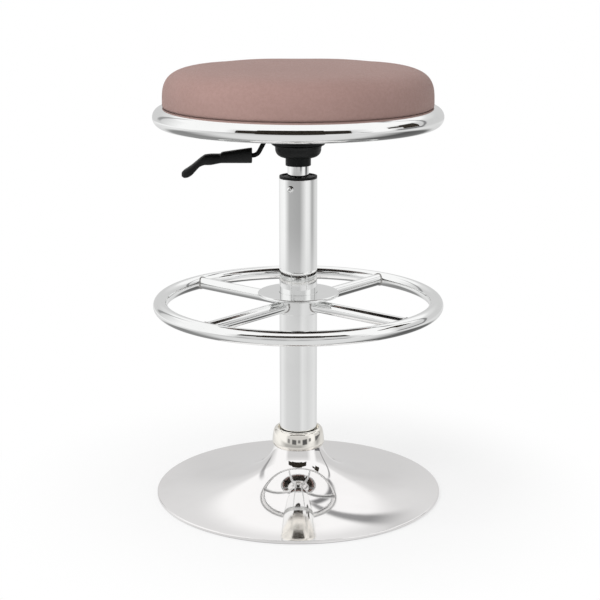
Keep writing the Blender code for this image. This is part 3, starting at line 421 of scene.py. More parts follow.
@dataclass(frozen=True)
class Lining(Finish):
    """Brownish black non-woven lining, bonded in small dimples."""

    deep: Colour = (0.017, 0.013, 0.010)
    fibre: Colour = (0.066, 0.052, 0.040)
    dimple: float = 0.0030

    def paint(self, bench: Bench, shader: bpy.types.Node) -> None:
        """Fibres in two directions with bonded dimples.

        Args:
            bench: Node tree of the material.
            shader: Its Principled node.
        """
        along = bench.cloud(150.0, 4.0, bench.spot((6.0, 0.5, 1.0), (0.0, 0.0, 0.6)))
        across = bench.cloud(150.0, 4.0, bench.spot((0.5, 6.0, 1.0), (0.0, 0.0, 0.3)))
        bond = bench.cells(1.0 / self.dimple, "F1").eased(0.16, 0.34)
        fibres = (along + across) * 0.5
        share = fibres.eased(0.40, 0.72) * bond
        bench.feed(shader.inputs["Base Color"], bench.blend(share, self.deep, self.fibre))
        bench.feed(shader.inputs["Roughness"], 0.72 + bond * 0.2)
        bench.feed(shader.inputs["Normal"], bench.relief(fibres + bond, 0.00025))


BRIGHT_CHROME = Chrome("bright_chrome", Slot.CHROME, 1.0)
DRAWN_CHROME = Chrome("drawn_tube_chrome", Slot.CHROME, 1.0, stretch=(1.0, 1.0, 0.02))
SPUN_CHROME = Chrome("spun_base_chrome", Slot.CHROME, 1.0, bright=(0.945, 0.93, 0.925),
                     dull=(0.86, 0.84, 0.835), stretch=(1.0, 1.0, 3.0))
# The welds' dark base colour is painted shade: it stands in for the dark shading at the spoke joints.
SHADED_WELD_CHROME = Chrome("weld_chrome_painted_shade", Slot.CHROME, 1.0, bright=(0.46, 0.45, 0.44), dull=(0.27, 0.26, 0.25))
COLLAR_CHROME = Chrome("collar_chrome", Slot.CHROME, 1.0, bright=(0.94, 0.91, 0.85), dull=(0.82, 0.78, 0.71))
ZINC = ZincSteel("zinc_steel", Slot.STEEL, 1.0)
BLACK_COAT = BlackPaint("black_powder_coat", Slot.BLACK_STEEL)
BLACK_PLASTIC = BlackMoulding("moulded_black_plastic", Slot.BLACK_PLASTIC)
FLOOR_RUBBER = Rubber("floor_ring_rubber", Slot.RUBBER)
SEAT_PLYWOOD = Plywood("seat_board_plywood", Slot.PLYWOOD)
MAUVE_VINYL = Vinyl("mauve_seat_vinyl", Slot.VINYL)
SEAT_LINING = Lining("black_seat_lining", Slot.LINING)


def numbered(stem: str, count: int) -> list[str]:
    """Names of nodes that are numbered from 1."""
    return [f"{stem}_{index + 1}" for index in range(count)]


def polar(radius: float, degrees: float, height: float = 0.0) -> Vector:
    """Point at a radius and an azimuth."""
    angle = math.radians(degrees)
    return Vector((radius * math.cos(angle), radius * math.sin(angle), height))


def turning(degrees: float, axis: str) -> Matrix:
    """Rotation about an axis."""
    return Matrix.Rotation(math.radians(degrees), 4, axis)


def arc(centre: Spot, radii: Spot, start: float, end: float, steps: int) -> Outline:
    """Elliptical arc between two angles in degrees, ends included."""
    angles = [math.radians(start + (end - start) * step / steps) for step in range(steps + 1)]
    return [(centre[0] + radii[0] * math.cos(a), centre[1] + radii[1] * math.sin(a)) for a in angles]


def bow(start: Spot, control: Spot, end: Spot, steps: int) -> Outline:
    """Quadratic curve.

    Args:
        start: First point.
        control: Point that the curve leans towards.
        end: Last point.
        steps: Number of stretches.

    Returns:
        The points of the curve, ends included.
    """
    points = []
    for step in range(steps + 1):
        share = step / steps
        weights = ((1 - share) ** 2, 2 * share * (1 - share), share ** 2)
        spots = (start, control, end)
        across = sum(weight * spot[0] for weight, spot in zip(weights, spots))
        upward = sum(weight * spot[1] for weight, spot in zip(weights, spots))
        points.append((across, upward))
    return points


def eased(outline: Outline, radius: float, steps: int = 4) -> Outline:
    """Closed outline with its sharp corners rounded.

    Args:
        outline: Corners in order; a corner on the axis stays.
        radius: How far along each side a rounding starts.
        steps: Stretches in each rounding.

    Returns:
        The rounded outline.
    """
    points: Outline = []
    for index, corner in enumerate(outline):
        here = Vector(corner)
        back = Vector(outline[index - 1]) - here
        ahead = Vector(outline[(index + 1) % len(outline)]) - here
        turn = math.pi - back.angle(ahead)
        if corner[0] == 0.0 or turn < SMOOTH_ANGLE:
            points.append(corner)
            continue
        start = here + back.normalized() * min(radius, back.length * 0.45)
        end = here + ahead.normalized() * min(radius, ahead.length * 0.45)
        points += bow(tuple(start), corner, tuple(end), steps)
    return points


def stand(name: str, mesh: bmesh.types.BMesh, angle: float = SMOOTH_ANGLE) -> bpy.types.Object:
    """Make an object from a mesh under construction.

    Args:
        name: Name of the object.
        mesh: Mesh, which is freed.
        angle: Edges that turn more than this stay sharp.

    Returns:
        The object, in the scene.
    """
    bmesh.ops.recalc_face_normals(mesh, faces=mesh.faces)
    data = bpy.data.meshes.new(name)
    mesh.to_mesh(data)
    mesh.free()
    data.shade_smooth()
    data.set_sharp_from_angle(angle=angle)
    made = bpy.data.objects.new(name, data)
    bpy.context.collection.objects.link(made)
    return made


def guarded(outline: Outline) -> Outline:
    """Outline with points near the ends of its long stretches, so that roundings shade evenly.

    Args:
        outline: (radius, height) points of a closed loop, or from axis to axis.

    Returns:
        The outline with the added points.
    """
    points: Outline = []
    count = len(outline)
    for index, here in enumerate(outline):
        points.append(here)
        ahead = outline[(index + 1) % count]
        span = math.dist(here, ahead)
        if here[0] == ahead[0] == 0.0 or span == 0.0:
            continue
        before = math.dist(outline[index - 1], here) / span
        after = math.dist(ahead, outline[(index + 2) % count]) / span
        shares = [before] if before < SHORT_SHARE else []
        shares += [1.0 - after] if after < SHORT_SHARE else []
        points += [(here[0] + (ahead[0] - here[0]) * share, here[1] + (ahead[1] - here[1]) * share)
                   for share in shares]
    return points


def turned_mesh(outline: Outline, steps: int = TURN_STEPS) -> bmesh.types.BMesh:
    """Turn an outline about Z.

    Args:
        outline: (radius, height) points; from axis to axis for a solid, otherwise a closed loop.
        steps: Steps in the turn.

    Returns:
        A closed mesh.
    """
    outline = guarded(outline)
    mesh = bmesh.new()
    rings = []
    for radius, height in outline:
        count = steps if radius > 0.0 else 1
        rings.append([mesh.verts.new(polar(radius, 360.0 * step / steps, height)) for step in range(count)])
    solid = outline[0][0] == 0.0 and outline[-1][0] == 0.0
    for near, far in zip(rings, rings[1:] if solid else rings[1:] + rings[:1]):
        for step in range(steps):
            after = step + 1
            corners = (near[step % len(near)], near[after % len(near)],
                       far[after % len(far)], far[step % len(far)])
            mesh.faces.new(list(dict.fromkeys(corners)))
    return mesh


def turned(name: str, outline: Outline, steps: int = TURN_STEPS) -> bpy.types.Object:
    """Object turned about Z from (radius, height) points."""
    return stand(name, turned_mesh(outline, steps))


def skinned(rings: list[Ring]) -> bmesh.types.BMesh:
    """Skin over rings of points, closed at both ends.

    Args:
        rings: Rings with equal counts of points.

    Returns:
        A closed mesh.
    """
    mesh = bmesh.new()
    loops = [[mesh.verts.new(point) for point in ring] for ring in rings]
    count = len(loops[0])
    for near, far in zip(loops, loops[1:]):
        for index in range(count):
            after = (index + 1) % count
            mesh.faces.new((near[index], near[after], far[after], far[index]))
    for loop in (loops[0], loops[-1]):
        middle = mesh.verts.new(sum((vert.co for vert in loop), Vector()) / count)
        for index in range(count):
            mesh.faces.new((loop[index], loop[(index + 1) % count], middle))
    return mesh


def swept(path: list[Vector], radius: float, sides: int) -> bmesh.types.BMesh:
    """Round bar along a path in the XZ plane.

    Args:
        path: Points of the centre line.
        radius: Radius of the bar.
        sides: Sides of its section.

    Returns:
        A closed mesh.
    """
    rings = []
    across = Vector((0.0, 1.0, 0.0))
    for index, point in enumerate(path):
        run = (path[min(index + 1, len(path) - 1)] - path[max(index - 1, 0)]).normalized()
        up = run.cross(across)
        ring = []
        for side in range(sides):
            angle = math.tau * side / sides
            ring.append(tuple(point + radius * (math.cos(angle) * across + math.sin(angle) * up)))
        rings.append(ring)
    return skinned(rings)


def block(size: Place, middle: Place) -> bmesh.types.BMesh:
    """Box of a size about a middle.

    Args:
        size: Lengths along X, Y and Z.
        middle: Its middle.

    Returns:
        A closed mesh.
    """
    mesh = bmesh.new()
    place = Matrix.Translation(middle) @ Matrix.Diagonal((*size, 1.0))
    bmesh.ops.create_cube(mesh, size=1.0, matrix=place)
    return mesh


def added(target: bmesh.types.BMesh, extra: bmesh.types.BMesh, place: Matrix = Matrix()) -> bmesh.types.BMesh:
    """Add a second mesh to a first one.

    Args:
        target: Mesh that grows.
        extra: Mesh that is added and freed.
        place: Where the second mesh goes.

    Returns:
        The first mesh.
    """
    bmesh.ops.recalc_face_normals(extra, faces=extra.faces)
    bmesh.ops.transform(extra, matrix=place, verts=extra.verts)
    carrier = bpy.data.meshes.new("carrier")
    extra.to_mesh(carrier)
    extra.free()
    target.from_mesh(carrier)
    bpy.data.meshes.remove(carrier)
    return target


def plain_mesh(made: bpy.types.Object) -> bpy.types.Mesh:
    """Mesh of an object with its modifiers worked in."""
    graph = bpy.context.evaluated_depsgraph_get()
    return bpy.data.meshes.new_from_object(made.evaluated_get(graph), depsgraph=graph)


def settle(made: bpy.types.Object) -> bpy.types.Object:
    """Work an object's modifiers into its mesh.

    Args:
        made: Object with modifiers.

    Returns:
        The same object, without modifiers.
    """
    before = made.data
    made.data = plain_mesh(made)
    made.modifiers.clear()
    bpy.data.meshes.remove(before)
    return made


def carved(made: bpy.types.Object, tool: bmesh.types.BMesh) -> bpy.types.Object:
    """Cut a mesh out of an object.

    Args:
        made: Object that is cut.
        tool: Mesh of the cut, which is freed.

    Returns:
        The cut object.
    """
    cutter = stand("cutter", tool)
    modifier = made.modifiers.new("cut", "BOOLEAN")
    modifier.operation = "DIFFERENCE"
    modifier.solver = "EXACT"
    modifier.object = cutter
    settle(made)
    bpy.data.objects.remove(cutter, do_unlink=True)
    made.data.shade_smooth()
    made.data.set_sharp_from_angle(angle=SMOOTH_ANGLE)
    return made


def finished(made: bpy.types.Object, finish: Finish, body: Body, *nodes: str) -> bpy.types.Object:
    """Dress a piece, let it ride on its body and let it stand for its nodes.

    Args:
        made: The piece.
        finish: Its finish.
        body: Body that it moves with.
        nodes: Frame nodes that it stands for.

    Returns:
        The piece.
    """
    made.data.materials.clear()
    made.data.materials.append(finish.material())
    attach(made, body.value)
    if nodes:
        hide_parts(*nodes)
    LOG.info("%s on %s: %d faces, %s", made.name, body.value, len(made.data.polygons), finish.name)
    return made


class Pattern:
    """Geometry Nodes tree with named inputs, worked into a plain mesh."""

    def __init__(self, name: str) -> None:
        """Start an empty tree with its group input.

        Args:
            name: Name of the tree.
        """
        self.tree = bpy.data.node_groups.new(name, "GeometryNodeTree")
        self.bench = Bench(self.tree)
        self.values: dict[str, Any] = {}
        self.tree.interface.new_socket("Geometry", in_out="OUTPUT", socket_type="NodeSocketGeometry")
        self.entry = self.tree.nodes.new("NodeGroupInput")

    def size(self, name: str, kind: str, value: Any) -> Signal:
        """Named input of the tree.

        Args:
            name: What the input is called.
            kind: Socket type after NodeSocket.
            value: The value that the modifier gives it.

        Returns:
            The input's output in the tree.
        """
        socket = self.tree.interface.new_socket(name, in_out="INPUT", socket_type=f"NodeSocket{kind}")
        self.values[socket.identifier] = value
        return Signal(self.bench, self.entry.outputs[name])

    def made(self, name: str, shape: Signal, finish: Finish) -> bpy.types.Object:
        """Close the tree and work it into a plain mesh.

        Args:
            name: Name of the piece.
            shape: Geometry that the tree has built.
            finish: Finish that the tree sets on it.

        Returns:
            The piece as a plain mesh.
        """
        whole = self.bench.node("GeometryNodeRealizeInstances", inputs={"Geometry": shape})
        smooth = self.bench.node("GeometryNodeSetShadeSmooth", inputs={"Geometry": whole})
        coat = self.size("Finish", "Material", finish.material())
        dressed = self.bench.node("GeometryNodeSetMaterial", inputs={"Geometry": smooth, "Material": coat})
        leave = self.tree.nodes.new("NodeGroupOutput")
        self.bench.feed(leave.inputs["Geometry"], dressed)
        host = bpy.data.objects.new(f"{name}_host", bpy.data.meshes.new(f"{name}_host"))
        bpy.context.collection.objects.link(host)
        modifier = host.modifiers.new(name, "NODES")
        modifier.node_group = self.tree
        for identifier, value in self.values.items():
            modifier[identifier] = value
        made = bpy.data.objects.new(name, plain_mesh(host))
        made.data.name = name
        bpy.context.collection.objects.link(made)
        bpy.data.objects.remove(host, do_unlink=True)
        bpy.data.node_groups.remove(self.tree)
        work = bmesh.new()
        work.from_mesh(made.data)
        bmesh.ops.recalc_face_normals(work, faces=work.faces)
        work.to_mesh(made.data)
        work.free()
        return made


@dataclass
class Around:
    """Copies of one shape set around the column's axis."""

    count: int
    start: float = 0.0
    radius: float = 0.0
    level: float = 0.0
    jitter: float = 0.0
    seed: int = 7

    def made(self, name: str, shape: bpy.types.Object, finish: Finish) -> bpy.types.Object:
        """Set the copies and work them into one mesh.

        Args:
            name: Name of the piece.
            shape: Shape that is copied, drawn at azimuth 0; it is removed.
            finish: Finish of the copies.

        Returns:
            The copies as one plain mesh.
        """
        tree = Pattern(f"{name}_around")
        bench = tree.bench
        count = tree.size("Count", "Int", self.count)
        start = tree.size("Start Angle", "Float", math.radians(self.start))
        radius = tree.size("Radius", "Float", self.radius)
        level = tree.size("Level", "Float", self.level)
        jitter = tree.size("Jitter", "Float", self.jitter)
        seed = tree.size("Seed", "Int", self.seed)
        source = tree.size("Shape", "Object", shape)
        index = bench.node("GeometryNodeInputIndex")
        angle = index * math.tau / count + start
        east = angle.join("COSINE", angle) * radius
        north = angle.join("SINE", angle) * radius
        spot = bench.node("ShaderNodeCombineXYZ", inputs={"X": east, "Y": north, "Z": level})
        points = bench.node("GeometryNodePoints", inputs={"Count": count, "Position": spot})
        sway = bench.node("FunctionNodeRandomValue", {"data_type": "FLOAT"},
                          {2: -1.0, 3: 1.0, "ID": index, "Seed": seed}, 1)
        turn = bench.node("FunctionNodeAxisAngleToRotation",
                          inputs={"Axis": (0.0, 0.0, 1.0), "Angle": angle + sway * jitter})
        copy = bench.node("GeometryNodeObjectInfo", inputs={"Object": source}, output="Geometry")
        copies = bench.node("GeometryNodeInstanceOnPoints",
                            inputs={"Points": points, "Instance": copy, "Rotation": turn})
        made = tree.made(name, copies, finish)
        bpy.data.objects.remove(shape, do_unlink=True)
        return made


@dataclass
class TubeRing:
    """Round tube bent into a level ring."""

    radius: float
    tube: float
    level: float
    turn_steps: int = 240
    tube_steps: int = 40

    def made(self, name: str, finish: Finish) -> bpy.types.Object:
        """Sweep a circle round a circle.

        Args:
            name: Name of the piece.
            finish: Its finish.

        Returns:
            The ring as a plain mesh.
        """
        tree = Pattern(f"{name}_tube")
        bench = tree.bench
        radius = tree.size("Ring Radius", "Float", self.radius)
        tube = tree.size("Tube Radius", "Float", self.tube)
        level = tree.size("Level", "Float", self.level)
        turns = tree.size("Ring Steps", "Int", self.turn_steps)
        sides = tree.size("Tube Steps", "Int", self.tube_steps)
        path = bench.node("GeometryNodeCurvePrimitiveCircle", inputs={"Resolution": turns, "Radius": radius})
        section = bench.node("GeometryNodeCurvePrimitiveCircle", inputs={"Resolution": sides, "Radius": tube})
        skin = bench.node("GeometryNodeCurveToMesh", inputs={"Curve": path, "Profile Curve": section})
        lift = bench.node("ShaderNodeCombineXYZ", inputs={"Z": level})
        raised = bench.node("GeometryNodeSetPosition", inputs={"Geometry": skin, "Offset": lift})
        return tree.made(name, raised, finish)


@dataclass
class WeldBead:
    """Row of small overlapping drops along closed paths, as a weld leaves."""

    drop: float
    pitch: float
    uneven: float = 0.15
    seed: int = 3

    def made(self, name: str, paths: list[list[Vector]], finish: Finish) -> bpy.types.Object:
        """Set the drops along the paths.

        Args:
            name: Name of the piece.
            paths: Closed rows of points.
            finish: Finish of the weld.

        Returns:
            The beads as one plain mesh.
        """
        line = bpy.data.curves.new(f"{name}_path", "CURVE")
        line.dimensions = "3D"
        for path in paths:
            spline = line.splines.new("POLY")
            spline.points.add(len(path) - 1)
            for spot, point in zip(spline.points, path):
                spot.co = (*point, 1.0)
            spline.use_cyclic_u = True
        guide = bpy.data.objects.new(f"{name}_path", line)
        bpy.context.collection.objects.link(guide)
        tree = Pattern(f"{name}_drops")
        bench = tree.bench
        drop = tree.size("Drop Radius", "Float", self.drop)
        pitch = tree.size("Pitch", "Float", self.pitch)
        seed = tree.size("Seed", "Int", self.seed)
        source = tree.size("Path", "Object", guide)
        curve = bench.node("GeometryNodeObjectInfo", inputs={"Object": source}, output="Geometry")
        points = bench.node("GeometryNodeResampleCurve", {"mode": "LENGTH"},
                            {"Curve": curve, "Length": pitch})
        bead = bench.node("GeometryNodeMeshUVSphere", inputs={"Segments": 8, "Rings": 5, "Radius": drop})
        swell = bench.node("FunctionNodeRandomValue", {"data_type": "FLOAT"},
                           {2: 1.0 - self.uneven, 3: 1.0 + self.uneven, "Seed": seed}, 1)
        drops = bench.node("GeometryNodeInstanceOnPoints",
                           inputs={"Points": points, "Instance": bead, "Scale": swell})
        made = tree.made(name, drops, finish)
        bpy.data.objects.remove(guide, do_unlink=True)
        return made


@dataclass
class ScrewHead:
    """Domed screw head with a cross recess, drawn with its axis on Z and its seat at 0."""

    radius: float
    height: float
    recess: float = 0.62
    slot: float = 0.24
    recess_floor: float = 0.42
    side: float = 0.30

    def made(self, name: str, shank: float = 0.0, length: float = 0.0) -> bpy.types.Object:
        """Turn the head and cut its recess.

        Args:
            name: Name of the shape.
            shank: Radius of the shank below the head.
            length: Length of the shank.

        Returns:
            The screw, with the head towards +Z.
        """
        outline: Outline = [(0.0, -length)]
        if length:
            outline += [(shank * 0.7, -length), (shank, -length + shank * 0.5), (shank, 0.0)]
        shoulder = (self.radius, self.height * self.side)
        outline += [(self.radius * 0.97, 0.0), (self.radius, self.height * 0.12), shoulder]
        outline += bow(shoulder, (self.radius * 0.86, self.height * 0.98),
                       (self.radius * 0.30, self.height), 6)[1:]
        outline += [(0.0, self.height)]
        head = turned(name, outline, SCREW_STEPS)
        reach = 2 * self.radius * self.recess
        width = self.radius * self.slot
        middle = (0.0, 0.0, self.height * self.recess_floor + self.height / 2)
        for along, across in ((reach, width), (width, reach)):
            carved(head, block((along, across, self.height), middle))
        return head


def moved(made: bpy.types.Object, place: Matrix) -> bpy.types.Object:
    """Move an object's mesh and leave the object at the origin."""
    made.data.transform(place)
    return made


@dataclass
class TrumpetBase:
    """Spun base shell, the rubber ring under its rim and the collar on its neck."""

    radius: float = 0.1925
    height: float = 0.0660
    sheet: float = 0.0016
    neck: float = 0.0330
    flare_radius: float = 0.0420
    flare_level: float = 0.0088
    rim_top: float = 0.0048
    rim_clearance: float = 0.0010
    rim_round: float = 0.0012
    rim_edge: float = 0.0003
    ring_width: float = 0.0100
    ring_height: float = 0.0029
    ring_groove: float = 0.0008
    ring_ease: float = 0.0004
    collar_height: float = 0.0242
    collar_foot: float = 0.0336
    collar_wide: float = 0.0352
    collar_top: float = 0.0286
    collar_waist: float = 0.22
    collar_shoulder: float = 0.72
    collar_lean: Spot = (4.5, 9.0)
    collar_ease: float = 0.0007
    column: float = 0.0250
    mouth_width: float = 0.0022
    mouth_depth: float = 0.0060
    steps: int = 56
    turn_steps: int = 224

    def flare(self, share: float, depth: float = 0.0) -> Spot:
        """Point of the shell's section.

        Args:
            share: Share of the way from the neck to the rim.
            depth: Depth below the outer skin.

        Returns:
            Radius and height.
        """
        rest = 1.0 - share
        radius = rest ** 2 * self.neck + 2 * share * rest * self.flare_radius + share ** 2 * self.radius
        height = rest ** 2 * self.height + 2 * share * rest * self.flare_level + share ** 2 * self.rim_top
        run = 2 * rest * (self.flare_radius - self.neck) + 2 * share * (self.radius - self.flare_radius)
        fall = 2 * rest * (self.flare_level - self.height) + 2 * share * (self.rim_top - self.flare_level)
        length = math.hypot(run, fall)
        return radius + depth * fall / length, height - depth * run / length

    def shell(self) -> bpy.types.Object:
        """Spun shell with its rolled rim.

        Returns:
            The shell.
        """
        lip = self.radius - self.sheet
        skin = [self.flare(step / self.steps) for step in range(self.steps)]
        rim_height = self.flare(1.0)[1] - self.rim_round
        rim = arc((self.radius - self.rim_round, rim_height), (self.rim_round, self.rim_round), 90.0, 0.0, 8)
        edge = [(self.radius, self.rim_clearance + self.rim_edge),
                (self.radius - self.rim_edge, self.rim_clearance), (lip, self.rim_clearance)]
        # Share of the way to the rim at which the skin is as wide as the lip
        bend = self.radius - 2 * self.flare_radius + self.neck
        ease = self.flare_radius - self.neck
        last = (math.sqrt(ease ** 2 + bend * (lip - self.neck)) - ease) / bend
        inside = [self.flare(last * step / self.steps, self.sheet) for step in range(self.steps, -1, -1)]
        return turned("base_shell", skin + rim + edge + inside, self.turn_steps)

    def floor_ring(self) -> bpy.types.Object:
        """Rubber ring with two grooves in its underside.

        Returns:
            The ring.
        """
        outer = self.radius - self.sheet - FIT
        inner = outer - self.ring_width
        groove = self.ring_width / 7
        outline: Outline = [(inner, 0.0)]
        for index in (2, 4):
            start = inner + groove * index
            outline += [(start, 0.0), (start, self.ring_groove),
                        (start + groove, self.ring_groove), (start + groove, 0.0)]
        outline += [(outer, 0.0), (outer, self.ring_height), (inner, self.ring_height)]
        return turned("floor_ring_rubber", eased(outline, self.ring_ease, 2))

    def collar(self) -> bpy.types.Object:
        """Collar over the joint of column and shell, a leaning band under a rounded shoulder.

        Returns:
            The collar.
        """
        bottom = self.height + FIT
        top = bottom + self.collar_height
        bore = self.column + FIT
        waist = bottom + self.collar_waist * self.collar_height
        shoulder = bottom + self.collar_shoulder * self.collar_height
        low, high = [math.tan(math.radians(lean)) for lean in self.collar_lean]
        span = shoulder - waist
        wide = self.collar_wide
        narrow = wide - span * (low + high) / 2
        below = (wide + low * (waist - bottom) / 2, (bottom + waist) / 2)
        within = (wide - low * span / 2, waist + span / 2)
        above = (narrow - high * (top - shoulder), top)
        side = bow((self.collar_foot, bottom), below, (wide, waist), 10)
        side += bow((wide, waist), within, (narrow, shoulder), 24)[1:]
        side += bow((narrow, shoulder), above, (self.collar_top, top), 24)[1:]
        mouth = [(bore + self.mouth_width, top), (bore + self.mouth_width, top - self.mouth_depth),
                 (bore, top - self.mouth_depth), (bore, bottom)]
        return turned("neck_collar_cover", eased(side + mouth, self.collar_ease))

    def build(self) -> None:
        """Make the base's pieces."""
        finished(self.shell(), SPUN_CHROME, Body.BASE, "base_trumpet")
        finished(self.floor_ring(), FLOOR_RUBBER, Body.BASE, "base_floor_ring")
        finished(self.collar(), COLLAR_CHROME, Body.BASE, "neck_collar")


@dataclass
class Column:
    """Column tube with the guide bush in its mouth and the screw that holds the bush."""

    radius: float = 0.0250
    wall: float = 0.0018
    top: float = 0.4317
    foot: float = 0.0120
    base_height: float = 0.0660
    taper: float = 0.0015
    end_plate: float = 0.0040
    end_hole: float = 0.0065
    tube_ease: float = 0.0005
    bush_length: float = 0.1000
    bush_lip: float = 0.0028
    bush_rim: float = 0.0020
    bush_dish: float = 0.0013
    bush_bore: float = 0.0143
    bush_inset: float = 0.0002
    bush_ease: float = 0.0004
    screw_level: float = 0.4200
    screw_azimuth: float = 246.4
    screw_head: float = 0.0045
    screw_height: float = 0.0025
    screw_recess: float = 0.42
    screw_shank: float = 0.0018
    screw_length: float = 0.0075
    screw_turn: float = 28.0

    def tube(self) -> bpy.types.Object:
        """Drawn tube with a taper at its foot.

        Returns:
            The tube.
        """
        bore = self.radius - self.wall
        floor = self.foot + self.end_plate
        outline = [(self.end_hole, self.foot), (self.radius - self.taper, self.foot),
                   (self.radius, self.base_height), (self.radius, self.top), (bore, self.top),
                   (bore, self.base_height), (bore - self.taper, floor), (self.end_hole, floor)]
        return turned("column_drawn_tube", eased(outline, self.tube_ease))

    def bush(self) -> bpy.types.Object:
        """Guide bush with its lip on the tube's end, dished inside its rim.

        Returns:
            The bush.
        """
        guide = self.radius - self.wall - FIT
        bottom = self.top + FIT
        lip = self.radius - self.bush_inset
        rim = bottom + self.bush_lip
        outline = [(self.bush_bore, self.top - self.bush_length), (guide, self.top - self.bush_length),
                   (guide, bottom), (lip, bottom), (lip, rim), (lip - self.bush_rim, rim),
                   (lip - self.bush_rim - self.bush_dish, rim - self.bush_dish),
                   (self.bush_bore, rim - self.bush_dish)]
        return turned("guide_bush", eased(outline, self.bush_ease))

    def screw(self) -> bpy.types.Object:
        """Screw through the tube into the bush.

        Returns:
            The screw.
        """
        shape = ScrewHead(self.screw_head, self.screw_height, self.screw_recess)
        head = shape.made("bush_cross_screw", self.screw_shank, self.screw_length)
        place = Matrix.Translation(polar(self.radius + FIT, self.screw_azimuth, self.screw_level))
        outward = turning(self.screw_azimuth, "Z") @ turning(90.0, "Y")
        return moved(head, place @ outward @ turning(self.screw_turn, "Z"))

    def build(self) -> None:
        """Make the column's pieces."""
        finished(self.tube(), DRAWN_CHROME, Body.BASE, "column_tube")
        finished(self.bush(), BLACK_PLASTIC, Body.BASE, "column_bush")
        finished(self.screw(), BRIGHT_CHROME, Body.BASE, "bush_screw")


